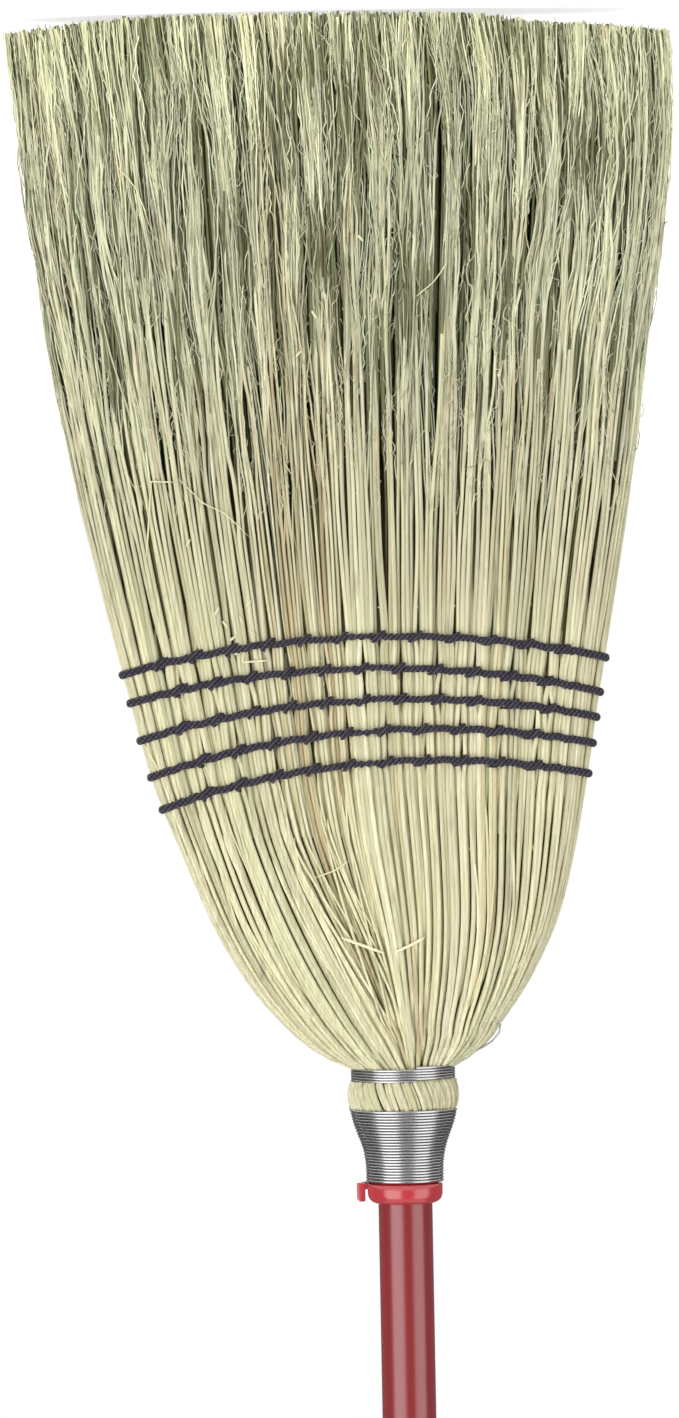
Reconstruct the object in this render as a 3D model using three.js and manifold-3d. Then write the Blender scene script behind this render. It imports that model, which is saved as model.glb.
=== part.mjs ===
// Flat-sewn straw broom on a coated steel handle, in millimetres, +Z up.
// The broom stands on its trimmed tips: the sweeping edge is at z = 0 and the handle's axis is x = y = 0.
import * as THREE from "three";
import { mergeVertices } from "three/addons/utils/BufferGeometryUtils.js";
import Module from "manifold-3d";

const wasm = await Module();
wasm.setup();

// Handle tube and its hanging cap
const HANDLE_DIAMETER = 23.8;
const HANDLE_WALL = 0.8;
const HANDLE_LENGTH = 1027;
const HANDLE_END_HEIGHT = 355;
const CAP_HEAD_DIAMETER = 25.4;
const CAP_HEAD_LENGTH = 40;
const CAP_FLANGE_LENGTH = 7;
const CAP_PLUG_LENGTH = 24;
const CAP_EDGE = 1.4;
const CAP_FLAT_THICKNESS = 12;
const HANG_HOLE_DIAMETER = 9.5;
const HANG_HOLE_DEPTH = 15;

// Straw fan, from the sweeping edge up to the first turn of wire
const STRAW_LENGTH = 464.2;
const SWEEP_WIDTH = 293.7;
const SWEEP_THICKNESS = 52;
const SWEEP_LEAN = 21.2;
const SEWN_THICKNESS = 39;
const SHOULDER_THICKNESS = 50;
const SEWN_BODY_END = 262;
const COVER_DEPTH = 4.4;
const STRAW_RIDGE_DEPTH = 0.9;
const LAYER_GAP = 0.5;
const BUNDLE_CROWN = 0.5;

// Loose straws past the sewing
const STRAND_DEPTH = 3.6;
const STRAND_TOP_INSET = 0.3;
const STRAND_BEND_HEIGHT = 128;
const INNER_STRAND_PITCH = 7.4;
const INNER_STRAND_WIDTH = 6.1;
const INNER_STRAND_DEPTH = 4.2;
const INNER_ROW_PITCH = 5.5;
const INNER_STRAND_STRAY = 0.5;
const INNER_ROW_STAGGER = 0.35;
const STRAND_ROOT = 1;
const STRAND_EDGE_INSET = 1.2;
const TRIM_RISE = 8.5;
const TRIM_RAGGEDNESS = 3;

// Wire-bound neck
const WIRE_DIAMETER = 1.14;
const WIRE_PITCH = 1.6;
const BAND_DIAMETER = 46.1;
const WINDING_START_DIAMETER = 47;
const WINDING_WAIST_DIAMETER = 33.5;
const BULGE_DIAMETER = 49;
const BULGE_HEIGHT = 12.4;
const BULGE_ROUND = 2.6;
const WIRE_TAIL_REACH = 3.1;
const BINDING_WIRE_DIAMETER = 1.2;

// Plastic collar between the winding and the handle
const COLLAR_DIAMETER = 32.4;
const COLLAR_LENGTH = 9.4;
const COLLAR_ROUND = 2.2;
const SLEEVE_WALL = 1.1;
const SLEEVE_LENGTH = 15;
const LUG_REACH = 5.1;
const LUG_BLADE = 3.5;
const LUG_LENGTH = 7.9;
const LUG_WIDTH = 4;
const LUG_BRIDGE = 2.4;
const LUG_CHAMFER = 1.4;

// Sewn rows of twine
const ROW_HEIGHT = 274.7;
const ROW_PITCH = 13.83;
const ROW_SAG = 12.7;
const ROW_SKEW_FIRST = 3.8;
const ROW_SKEW_LAST = 8;
const TWINE_WIDTH = 3.3;
const TWINE_DEPTH = 2.1;
const TWINE_GAP = 0.45;
const STITCH_PITCH = 16.3;
const STITCH_WIDTH = 2.1;
const STITCH_FLANK = 0.5;
const STITCH_REACH = 7.4;
const STITCH_RAISE = 0.9;
const STITCH_END_INSET = 19;

// Fits
const SEAT_GAP = 0.3;
const CUT_OVERRUN = 1;

// Counts
const HANDLE_SIDES = 40;
const CAP_SIDES = 28;
const COLLAR_SIDES = 32;
const BINDING_SIDES = 24;
const HOLE_SIDES = 20;
const COVER_STRAWS = 96;
const NECK_STRAWS = 40;
const BED_SIDES = 32;
const LAYER_SIDES = 28;
const SHOULDER_ARC_POINTS = 11;
const BAND_TURNS = 4.2;
const CLIMB_TURNS = 0.5;
const WINDING_TURNS = 18;
const WINDING_STEPS = 16;
const WIRE_SIDES = 5;
const TAIL_STEPS = 3;
const BINDING_TURNS = 5;
const ROW_COUNT = 5;

// The fan's outline: height up the straws, spread from the neck to the sweep, lean of its middle
const FAN_SHARES = [
  [0, 1, 1],
  [0.12, 0.98, 0.84],
  [0.275, 0.91, 0.84],
  [0.425, 0.8246, 0.79],
  [0.565, 0.7196, 0.71],
  [0.65, 0.6527, 0.646],
  [0.728, 0.5915, 0.56],
  [0.803, 0.511, 0.4],
  [0.862, 0.435, 0.31],
  [0.918, 0.3266, 0.25],
  [0.9565, 0.219, 0.19],
  [0.9735, 0.163, 0.12],
  [0.986, 0.105, 0.09],
  [0.9945, 0.05, 0.05],
  [1, 0, 0],
];
const SPREAD_SHARES = FAN_SHARES.map(([height, spread]) => [height, spread]);
const LEAN_SHARES = FAN_SHARES.map(([height, , lean]) => [height, lean]);

// How square the fan's cross-section is, from 0 for an ellipse, and the heights of its thickness
const SQUARENESS_SHARES = [[0, 0.6], [0.6, 0.5], [0.85, 0.3], [0.96, 0.08], [1, 0]];
const SEWN_TOP_SHARE = 0.66;
const SHOULDER_HEIGHT_SHARE = 0.87;

// Heights of the rings between the end of the sewn body and the neck
const SEWN_RING_SHARES = [0, 0.3, 0.58, 0.8];
const SHOULDER_RING_SHARES = [0.93, 0.976];
const BODY_RING_SHARES = [...SEWN_RING_SHARES, ...SHOULDER_RING_SHARES];
const WINDING_RING_SHARES = [0, 1 / 3, 2 / 3, 1];
const BULGE_TWIST_SHARE = 0.0085;
const BUTT_SHARE = 0.63;

// Fill of the loose straws' pitch, level stretch of the trim, share of straws that end at full length
const STRAND_FILL_SHARE = 0.86;
const LEVEL_TRIM_SHARE = 0.52;
const FULL_LENGTH_SHARE = 0.55;
const GOLDEN_SHARE = 0.618034;

// Where the shoulder bundles begin across the fan, at its sewn end and further up
const SHOULDER_START_SHARE = 0.5;
const SHOULDER_EDGE_SHARES = [[0.83, 0.62], [0.97, 0.9]];

// Taper of the main winding: height up the winding, drop from its start to its waist
const WINDING_SHARES = [[0, 0], [0.14, 0.17], [0.3, 0.43], [0.47, 0.69], [0.63, 0.91], [0.8, 1], [1, 1]];

// Slant of a stitch, and places of the twine round the fan's ends in quarter turns
const STITCH_SLANT_SHARE = 0.58;
const END_TURN_SHARES = [-0.34, -0.22, -0.1, 0, 0.1, 0.22, 0.34];

// Sizes that follow from the ones above
const HANDLE_RADIUS = HANDLE_DIAMETER / 2;
const HANDLE_BORE_RADIUS = HANDLE_RADIUS - HANDLE_WALL;
const HANDLE_TOP = HANDLE_END_HEIGHT + HANDLE_LENGTH;
const SLIDE_RADIUS = HANDLE_RADIUS + SEAT_GAP;
const WIRE_RADIUS = WIRE_DIAMETER / 2;
const BAND_RADIUS = BAND_DIAMETER / 2 - WIRE_RADIUS;
const NECK_STRAW_RADIUS = bedRadius(BAND_RADIUS);
const BAND_START = STRAW_LENGTH + WIRE_RADIUS + SEAT_GAP;
const BAND_TOP = BAND_START + BAND_TURNS * WIRE_PITCH;
const BULGE_RADIUS = BULGE_DIAMETER / 2;
const BULGE_BASE = BAND_TOP + WIRE_RADIUS;
const BULGE_TOP = BULGE_BASE + BULGE_HEIGHT;
const WINDING_START = BULGE_TOP + WIRE_RADIUS;
const WINDING_TOP = WINDING_START + WINDING_TURNS * WIRE_PITCH;
const COLLAR_BASE = WINDING_TOP + WIRE_RADIUS + SEAT_GAP;
const COLLAR_TOP = COLLAR_BASE + COLLAR_LENGTH;
const BUTT_HEIGHT = WINDING_START + (WINDING_TOP - WINDING_START) * BUTT_SHARE;
const SLEEVE_RADIUS = SLIDE_RADIUS + SLEEVE_WALL;
const SLEEVE_BASE = BUTT_HEIGHT - SLEEVE_LENGTH;
const BINDING_RADIUS = NECK_STRAW_RADIUS - COVER_DEPTH - SEAT_GAP;
const BINDING_BASE = STRAW_LENGTH + BINDING_WIRE_DIAMETER;
const BINDING_TOP = BINDING_BASE + BINDING_TURNS * BINDING_WIRE_DIAMETER;
const CORE_NECK_RADIUS = BINDING_RADIUS - BINDING_WIRE_DIAMETER - SEAT_GAP;
const CORE_TOP = BINDING_TOP + BINDING_WIRE_DIAMETER;
const CORE_INSET = COVER_DEPTH + LAYER_GAP;

const coatedSteel = new THREE.MeshStandardMaterial({ color: 0xa32b33, roughness: 0.3, metalness: 0.1 });
const redPlastic = new THREE.MeshStandardMaterial({ color: 0xc8343c, roughness: 0.42, metalness: 0 });
const brightWire = new THREE.MeshStandardMaterial({ color: 0xb9bcc2, roughness: 0.28, metalness: 1 });
const coverStraw = new THREE.MeshStandardMaterial({ color: 0xd6cf94, roughness: 0.7, metalness: 0 });
const innerStraw = new THREE.MeshStandardMaterial({ color: 0xb9ad74, roughness: 0.8, metalness: 0 });
const navyTwine = new THREE.MeshStandardMaterial({ color: 0x2b3040, roughness: 0.85, metalness: 0 });

/** Radius of the bed under a wire whose centre line has the given radius, clear of its flat steps. */
function bedRadius(centreRadius) {
  return (centreRadius - WIRE_RADIUS) * Math.cos(Math.PI / WINDING_STEPS) - SEAT_GAP;
}

/** Radius of the winding's centre line at a height. */
function windingRadius(height) {
  const share = (height - WINDING_START) / (WINDING_TOP - WINDING_START);
  const drop = (WINDING_START_DIAMETER - WINDING_WAIST_DIAMETER) / 2;
  return WINDING_START_DIAMETER / 2 - WIRE_RADIUS - drop * smoothValue(WINDING_SHARES, share);
}

/** Smooth value of a table of [place, value] rows, with no overshoot between two rows. */
function smoothValue(rows, place) {
  const last = rows.length - 1;
  const at = Math.min(Math.max(place, rows[0][0]), rows[last][0]);
  const secant = (row) => (rows[row + 1][1] - rows[row][1]) / (rows[row + 1][0] - rows[row][0]);
  const slope = (row) => {
    if (row === 0 || row === last) {
      return secant(row === 0 ? 0 : last - 1);
    }
    const product = secant(row - 1) * secant(row);
    return product <= 0 ? 0 : (2 * product) / (secant(row - 1) + secant(row));
  };
  let row = 0;
  while (row < last - 1 && at > rows[row + 1][0]) {
    row += 1;
  }
  const span = rows[row + 1][0] - rows[row][0];
  const t = (at - rows[row][0]) / span;
  const ease = t * t * (3 - 2 * t);
  const bend = slope(row) * t * (1 - t) ** 2 - slope(row + 1) * t * t * (1 - t);
  return rows[row][1] + (rows[row + 1][1] - rows[row][1]) * ease + span * bend;
}

/** Closed surface built from rings of points; a ring runs anticlockwise seen from above. */
class Skin {
  constructor() {
    this.points = [];
    this.triangles = [];
  }

  ring(points) {
    const start = this.points.length;
    this.points.push(...points);
    return points.map((_, index) => start + index);
  }

  /** Wall between two rings that may differ in count, facing away from the axis or towards it. */
  wall(lower, upper, inward = false) {
    let low = 0;
    let high = 0;
    while (low < lower.length || high < upper.length) {
      const stepLow = (low + 1) / lower.length <= (high + 1) / upper.length;
      const a = lower[low % lower.length];
      const b = upper[high % upper.length];
      const c = stepLow ? lower[(low + 1) % lower.length] : upper[(high + 1) % upper.length];
      this.triangles.push(inward ? [c, a, b] : [a, c, b]);
      low += stepLow ? 1 : 0;
      high += stepLow ? 0 : 1;
    }
  }

  /** Walls up through a list of rings. */
  tower(rings, inward = false) {
    rings.slice(1).forEach((ring, index) => this.wall(rings[index], ring, inward));
  }

  /** Level face inside an outline and round any holes, facing up or down. */
  level(outline, holes, up) {
    const flat = (indices) => indices.map((index) => {
      const point = this.points[index];
      return new THREE.Vector2(point.x, point.y);
    });
    const all = [outline, ...holes].flat();
    for (const face of THREE.ShapeUtils.triangulateShape(flat(outline), holes.map(flat))) {
      const corners = face.map((index) => all[index]);
      const anticlockwise = !THREE.ShapeUtils.isClockWise(flat(corners));
      this.triangles.push(anticlockwise === up ? corners : corners.reverse());
    }
  }

  /** Side faces between sections that follow each other anticlockwise about the axis. */
  sweep(sections) {
    sections.slice(1).forEach((next, index) => {
      const section = sections[index];
      section.forEach((corner, side) => {
        const after = (side + 1) % section.length;
        this.triangles.push([corner, next[side], next[after]]);
        this.triangles.push([corner, next[after], section[after]]);
      });
    });
  }

  geometry() {
    const geometry = new THREE.BufferGeometry();
    const positions = this.points.flatMap((point) => [point.x, point.y, point.z]);
    geometry.setAttribute("position", new THREE.Float32BufferAttribute(positions, 3));
    geometry.setIndex(this.triangles.flat());
    return geometry;
  }
}

/** Closed solid for joining and cutting. */
function toSolid(geometry) {
  const bare = geometry.clone();
  bare.deleteAttribute("normal");
  bare.deleteAttribute("uv");
  const merged = mergeVertices(bare);
  return new wasm.Manifold(new wasm.Mesh({
    numProp: 3,
    vertProperties: new Float32Array(merged.getAttribute("position").array),
    triVerts: new Uint32Array(merged.getIndex().array),
  }));
}

/** Geometry of a joined or cut solid. */
function toGeometry(solid) {
  const mesh = solid.getMesh();
  const geometry = new THREE.BufferGeometry();
  geometry.setAttribute("position", new THREE.Float32BufferAttribute(mesh.vertProperties, 3));
  geometry.setIndex(Array.from(mesh.triVerts));
  return geometry;
}

/** Body with its loose straws joined to it. */
function fuse(body, strands) {
  return toGeometry(toSolid(body.geometry()).add(toSolid(strands.geometry())));
}

/** Cross-section of the fan at a height. */
function fanSection(height) {
  const share = height / STRAW_LENGTH;
  const spread = SWEEP_WIDTH / 2 - NECK_STRAW_RADIUS;
  return {
    height,
    lean: SWEEP_LEAN * smoothValue(LEAN_SHARES, share),
    halfWidth: NECK_STRAW_RADIUS + spread * smoothValue(SPREAD_SHARES, share),
    halfThickness: smoothValue([
      [0, SWEEP_THICKNESS / 2],
      [SEWN_BODY_END / STRAW_LENGTH, SEWN_THICKNESS / 2],
      [SEWN_TOP_SHARE, SEWN_THICKNESS / 2],
      [SHOULDER_HEIGHT_SHARE, SHOULDER_THICKNESS / 2],
      [1, NECK_STRAW_RADIUS],
    ], share),
    power: 2 + smoothValue(SQUARENESS_SHARES, share),
  };
}

/** Cross-section of the faceted cover at a height, straight between its rings. */
function coverSection(height) {
  const heights = SEWN_RING_SHARES.map(bodyHeight);
  const last = heights.length - 1;
  const above = heights.findIndex((level, index) => index === last || (index > 0 && level > height));
  const lower = fanSection(heights[above - 1]);
  const upper = fanSection(heights[above]);
  const share = (height - lower.height) / (upper.height - lower.height);
  const between = (name) => THREE.MathUtils.lerp(lower[name], upper[name], share);
  return {
    height,
    lean: between("lean"),
    halfWidth: between("halfWidth"),
    halfThickness: between("halfThickness"),
    power: between("power"),
  };
}

/** Round cross-section on the handle's axis. */
function roundSection(height, radius) {
  return { height, lean: 0, halfWidth: radius, halfThickness: radius, power: 2 };
}

/** Cross-section drawn in all round. */
function drawnIn(section, inset) {
  return {
    ...section,
    halfWidth: section.halfWidth - inset,
    halfThickness: section.halfThickness - inset,
  };
}

/** Share of the way out that an outline reaches for the cosine or sine of its angle. */
function outlineShare(part, power) {
  return Math.sign(part) * Math.abs(part) ** (2 / power);
}

/** Point of a cross-section's outline at an angle from +X. */
function outlinePoint(section, angle) {
  const x = section.lean + section.halfWidth * outlineShare(Math.cos(angle), section.power);
  const y = section.halfThickness * outlineShare(Math.sin(angle), section.power);
  return new THREE.Vector3(x, y, section.height);
}

/** Points of an outline at equal angles. */
function plainOutline(section, count) {
  return Array.from({ length: count }, (_, index) => outlinePoint(section, (index / count) * 2 * Math.PI));
}

/** Angles that part an outline into equal lengths, from its +X end round by +Y. */
function evenAngles(section, count) {
  const samples = 1440;
  const points = plainOutline(section, samples);
  const lengths = [0];
  points.forEach((point, index) => {
    lengths.push(lengths[index] + point.distanceTo(points[(index + 1) % samples]));
  });
  let sample = 0;
  return Array.from({ length: count }, (_, index) => {
    const wanted = (index / count) * lengths[samples];
    while (lengths[sample + 1] < wanted) {
      sample += 1;
    }
    const within = (wanted - lengths[sample]) / (lengths[sample + 1] - lengths[sample]);
    return ((sample + within) / samples) * 2 * Math.PI;
  });
}

/** Outline with a ridge and a valley for each straw; a twist turns it about the axis. */
function strawOutline(section, straws, twistShare = 0) {
  const valleys = drawnIn(section, STRAW_RIDGE_DEPTH);
  return evenAngles(section, straws * 2).map((angle, index) => {
    return outlinePoint(index % 2 === 0 ? section : valleys, angle + twistShare * 2 * Math.PI);
  });
}

/** Height at a share of the way from the end of the sewn body to the neck. */
function bodyHeight(share) {
  return SEWN_BODY_END + (STRAW_LENGTH - SEWN_BODY_END) * share;
}

/** Uneven share from 0 to 1 that goes with a straw's number. */
function unevenShare(number) {
  const share = number * GOLDEN_SHARE;
  return share - Math.floor(share);
}

/** Height of a straw's cut tip: level under the handle, rising to the corners, some a little short. */
function tipHeight(across, number) {
  const corner = Math.max(0, (Math.abs(across) - LEVEL_TRIM_SHARE) / (1 - LEVEL_TRIM_SHARE));
  const short = Math.max(0, unevenShare(number) - FULL_LENGTH_SHARE) / (1 - FULL_LENGTH_SHARE);
  return TRIM_RISE * corner ** 2 + TRIM_RAGGEDNESS * short;
}

let looseStraws = 0;

/** Adds one loose straw through its outlines, from the flat cut tip up to the root. */
function addStrand(strands, outlines) {
  looseStraws += 1;
  const rings = outlines.map((outline) => strands.ring(outline));
  strands.tower(rings);
  strands.triangles.push([...rings[0]].reverse(), rings.at(-1));
}

/** Outline of each of the cover's loose straws at a height. */
function coverStrands(height) {
  const section = fanSection(height);
  const top = drawnIn(section, STRAND_TOP_INSET);
  const bottom = drawnIn(section, STRAND_DEPTH);
  const angles = evenAngles(section, COVER_STRAWS * 2);
  return Array.from({ length: COVER_STRAWS }, (_, straw) => {
    const ridge = angles[straw * 2];
    const before = straw === 0 ? angles.at(-1) - 2 * Math.PI : angles[straw * 2 - 1];
    const after = angles[straw * 2 + 1];
    return [
      outlinePoint(top, ridge),
      outlinePoint(bottom, THREE.MathUtils.lerp(ridge, after, STRAND_FILL_SHARE)),
      outlinePoint(bottom, THREE.MathUtils.lerp(ridge, before, STRAND_FILL_SHARE)),
    ];
  });
}

/** Outer layer of fine straws: ridged, drawn in under the wire, loose past the sewing. */
function coverHurl() {
  const skin = new Skin();
  const bulge = (height, radius, twists) => {
    return strawOutline(roundSection(height, radius), NECK_STRAWS, -twists * BULGE_TWIST_SHARE);
  };
  const bed = (height, radius) => plainOutline(roundSection(height, radius), BED_SIDES);
  const windingBed = (share) => {
    const height = THREE.MathUtils.lerp(BULGE_TOP, BUTT_HEIGHT, share);
    return bed(height, bedRadius(windingRadius(height)));
  };
  const outer = [
    ...SEWN_RING_SHARES.map((share) => strawOutline(fanSection(bodyHeight(share)), COVER_STRAWS)),
    ...[...SHOULDER_RING_SHARES, 1].map((share) => strawOutline(fanSection(bodyHeight(share)), NECK_STRAWS)),
    bed(STRAW_LENGTH + SEAT_GAP, NECK_STRAW_RADIUS),
    bed(BULGE_BASE, NECK_STRAW_RADIUS),
    bulge(BULGE_BASE + SEAT_GAP, BULGE_RADIUS - BULGE_ROUND, 0),
    bulge(BULGE_BASE + BULGE_ROUND, BULGE_RADIUS, 1),
    bulge(BULGE_TOP - BULGE_ROUND, BULGE_RADIUS, 2),
    ...WINDING_RING_SHARES.map(windingBed),
  ].map((points) => skin.ring(points));
  const layer = (section) => plainOutline(section, LAYER_SIDES);
  const inner = [
    ...[...BODY_RING_SHARES, 1].map((share) => layer(drawnIn(fanSection(bodyHeight(share)), COVER_DEPTH))),
    layer(roundSection(CORE_TOP + SEAT_GAP, NECK_STRAW_RADIUS - COVER_DEPTH)),
    layer(roundSection(SLEEVE_BASE - SEAT_GAP, SLEEVE_RADIUS + SEAT_GAP)),
    layer(roundSection(BUTT_HEIGHT, SLEEVE_RADIUS + SEAT_GAP)),
  ].map((points) => skin.ring(points));
  skin.tower(outer);
  skin.tower(inner, true);
  skin.level(outer[0], [inner[0]], false);
  skin.level(outer.at(-1), [inner.at(-1)], true);
  const strands = new Skin();
  const roots = coverStrands(SEWN_BODY_END + STRAND_ROOT);
  const bends = coverStrands(STRAND_BEND_HEIGHT);
  const feet = coverStrands(0);
  const sweep = fanSection(0);
  roots.forEach((root, straw) => {
    const tip = tipHeight((feet[straw][0].x - sweep.lean) / sweep.halfWidth, straw);
    const cut = bends[straw].map((point, corner) => {
      return point.clone().lerp(feet[straw][corner], 1 - tip / STRAND_BEND_HEIGHT);
    });
    addStrand(strands, [cut, bends[straw], root]);
  });
  return fuse(skin, strands);
}

/** Cross-section of the space inside the cover. */
function layerSection(height) {
  return drawnIn(fanSection(height), CORE_INSET);
}

/** Columns of inner strands, counted from the one under the handle's axis, and their edges. */
function strandColumns() {
  const foot = layerSection(0);
  const reach = foot.halfWidth * SHOULDER_START_SHARE;
  return {
    first: Math.ceil((foot.lean - foot.halfWidth) / INNER_STRAND_PITCH),
    lowEdge: Math.round((foot.lean - reach) / INNER_STRAND_PITCH) - 1 / 2,
    highEdge: Math.round((foot.lean + reach) / INNER_STRAND_PITCH) + 1 / 2,
    last: Math.floor((foot.lean + foot.halfWidth) / INNER_STRAND_PITCH),
  };
}

/** Share of the half-width at which a shoulder bundle begins at a height; side is 1 at +X. */
function shoulderShare(side, height) {
  const foot = layerSection(0);
  const columns = strandColumns();
  const edge = side > 0 ? columns.highEdge : columns.lowEdge;
  const start = (side * (edge * INNER_STRAND_PITCH - foot.lean)) / foot.halfWidth;
  const rows = [[SEWN_BODY_END / STRAW_LENGTH, start], ...SHOULDER_EDGE_SHARES];
  return smoothValue(rows, height / STRAW_LENGTH);
}

/** Outline of an inner strand at a height, at its shares across and through the fan. */
function innerStrand(height, across, through, turn) {
  const foot = layerSection(0);
  const section = layerSection(height);
  const widen = (turn * INNER_STRAND_WIDTH * section.halfWidth) / foot.halfWidth;
  const deepen = (turn * INNER_STRAND_DEPTH * section.halfThickness) / foot.halfThickness;
  const x = section.lean + section.halfWidth * across;
  const y = section.halfThickness * through;
  return [
    new THREE.Vector3(x, y + (deepen * 2) / 3, height),
    new THREE.Vector3(x - widen / 2, y - deepen / 3, height),
    new THREE.Vector3(x + widen / 2, y - deepen / 3, height),
  ];
}

/** Inner strands between two column edges. */
function innerStrands(fromColumn, toColumn) {
  const foot = layerSection(0);
  const bound = drawnIn(foot, STRAND_EDGE_INSET);
  const rows = Math.floor(foot.halfThickness / INNER_ROW_PITCH);
  const strands = new Skin();
  for (let column = Math.ceil(fromColumn); column <= toColumn; column += 1) {
    for (let row = -rows; row <= rows; row += 1) {
      const number = Math.abs(row) * (column - fromColumn) * rows + Math.abs(column);
      const stray = INNER_STRAND_STRAY * (unevenShare(number + row) - 1 / 2);
      const stagger = row % 2 === 0 ? INNER_ROW_STAGGER : -INNER_ROW_STAGGER;
      const across = (column * INNER_STRAND_PITCH + stagger + stray / 2 - foot.lean) / foot.halfWidth;
      const through = (row * INNER_ROW_PITCH + stray) / foot.halfThickness;
      const turn = column % 2 === 0 ? 1 : -1;
      const outline = innerStrand(0, across, through, turn);
      const inside = outline.every((point) => {
        const x = Math.abs(point.x - foot.lean) / bound.halfWidth;
        const y = Math.abs(point.y) / bound.halfThickness;
        return x ** bound.power + y ** bound.power < 1;
      });
      if (inside) {
        const tip = tipHeight(across, row === 0 ? 0 : number);
        const root = innerStrand(SEWN_BODY_END + STRAND_ROOT, across, through, turn);
        const cut = root.map((point, corner) => {
          return point.clone().lerp(outline[corner], 1 - tip / (SEWN_BODY_END + STRAND_ROOT));
        });
        addStrand(strands, [cut, root]);
      }
    }
  }
  return strands;
}

/** Middle bundle, tied round the handle's end, with a blind bore for the handle. */
function insideCorn() {
  const skin = new Skin();
  const bundle = (height) => {
    const section = layerSection(height);
    const edge = (side) => section.halfWidth * shoulderShare(side, height) - LAYER_GAP / 2;
    return plainOutline(section, LAYER_SIDES).map((point) => {
      const crown = BUNDLE_CROWN * (point.y / section.halfThickness) ** 2;
      const sideways = Math.max(crown - edge(-1), Math.min(edge(1) - crown, point.x - section.lean));
      return point.setX(section.lean + sideways);
    });
  };
  const neck = (height) => plainOutline(roundSection(height, CORE_NECK_RADIUS), LAYER_SIDES);
  const bore = (height) => plainOutline(roundSection(height, SLIDE_RADIUS), HANDLE_SIDES);
  const outer = [
    ...BODY_RING_SHARES.map((share) => bundle(bodyHeight(share))),
    neck(STRAW_LENGTH),
    neck(CORE_TOP),
  ].map((points) => skin.ring(points));
  const boreFloor = skin.ring(bore(HANDLE_END_HEIGHT - SEAT_GAP));
  const boreMouth = skin.ring(bore(CORE_TOP));
  skin.tower(outer);
  skin.wall(boreFloor, boreMouth, true);
  skin.level(boreFloor, [], true);
  skin.level(outer.at(-1), [boreMouth], true);
  skin.level(outer[0], [], false);
  const columns = strandColumns();
  return fuse(skin, innerStrands(columns.lowEdge, columns.highEdge));
}

/** Shoulder bundle that fills out one side of the fan; side is 1 at +X. */
function shoulder(side) {
  const skin = new Skin();
  const bundle = (height) => {
    const section = layerSection(height);
    const start = shoulderShare(side, height) + LAYER_GAP / 2 / section.halfWidth;
    const reach = Math.acos(start ** (section.power / 2));
    return Array.from({ length: SHOULDER_ARC_POINTS }, (_, index) => {
      const angle = reach * ((2 * index) / (SHOULDER_ARC_POINTS - 1) - 1);
      return outlinePoint(section, side > 0 ? angle : Math.PI + angle);
    });
  };
  const rings = BODY_RING_SHARES.slice(0, -1).map((share) => skin.ring(bundle(bodyHeight(share))));
  const columns = strandColumns();
  const [from, to] = side > 0 ? [columns.highEdge, columns.last] : [columns.first, columns.lowEdge];
  skin.tower(rings);
  skin.level(rings[0], [], false);
  skin.level(rings.at(-1), [], true);
  return fuse(skin, innerStrands(from, to));
}

/** Centre line of the neck's wire: top band, climb over the straw bulge at the back, winding, tail. */
function wirePath() {
  const crest = (BULGE_RADIUS + SEAT_GAP) / Math.cos(Math.PI / WINDING_STEPS) + WIRE_RADIUS;
  const steps = Math.round((BAND_TURNS + CLIMB_TURNS + WINDING_TURNS) * WINDING_STEPS);
  return Array.from({ length: steps + 1 }, (_, step) => {
    const turn = step / WINDING_STEPS - BAND_TURNS;
    const climbed = Math.min(Math.max(turn / CLIMB_TURNS, 0), 1);
    const wound = Math.max(turn - CLIMB_TURNS, 0) * WIRE_PITCH;
    const height = BAND_TOP + Math.min(turn, 0) * WIRE_PITCH + (WINDING_START - BAND_TOP) * climbed + wound;
    const level = THREE.MathUtils.lerp(BAND_RADIUS, windingRadius(height), climbed);
    const over = Math.min(1, 2 * Math.sin(Math.PI * climbed));
    const loose = Math.max(0, step - steps + TAIL_STEPS) / TAIL_STEPS;
    const radius = THREE.MathUtils.lerp(level, crest, over) + WIRE_TAIL_REACH * loose ** 1.5;
    return { angle: (1 / 2 - turn) * 2 * Math.PI, radius, height };
  });
}

/** Least gap of the wire to itself, between points at least half a turn apart. */
function leastWireGap(path) {
  const centres = path.map(({ angle, radius, height }) => {
    return new THREE.Vector3(radius * Math.cos(angle), radius * Math.sin(angle), height);
  });
  let least = Infinity;
  centres.forEach((centre, index) => {
    for (let other = index + WINDING_STEPS / 2; other < centres.length; other += 1) {
      least = Math.min(least, centre.distanceTo(centres[other]) - WIRE_DIAMETER);
    }
  });
  return least;
}

/** The neck's wire as one unbroken tube, built from its tail back to its start. */
function neckWire() {
  const skin = new Skin();
  const path = wirePath().reverse();
  console.log(`Least gap of the neck wire to itself: ${leastWireGap(path).toFixed(2)} mm`);
  const sections = path.map(({ angle, radius, height }) => {
    return skin.ring(Array.from({ length: WIRE_SIDES }, (_, side) => {
      const around = ((side + 1 / 2) / WIRE_SIDES) * 2 * Math.PI;
      const reach = radius + WIRE_RADIUS * Math.cos(around);
      const rise = WIRE_RADIUS * Math.sin(around);
      return new THREE.Vector3(reach * Math.cos(angle), reach * Math.sin(angle), height + rise);
    }));
  });
  skin.sweep(sections);
  const start = sections[0];
  const end = sections.at(-1);
  for (let side = 1; side < WIRE_SIDES - 1; side += 1) {
    skin.triangles.push([start[0], start[side], start[side + 1]]);
    skin.triangles.push([end[0], end[side + 1], end[side]]);
  }
  return skin.geometry();
}

/** Height of a sewn row at a share across the fan, from -1 to 1. */
function rowHeight(row, across) {
  const skew = THREE.MathUtils.lerp(ROW_SKEW_FIRST, ROW_SKEW_LAST, row / (ROW_COUNT - 1));
  return ROW_HEIGHT + ROW_PITCH * row + ROW_SAG * across ** 2 + skew * across;
}

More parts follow.
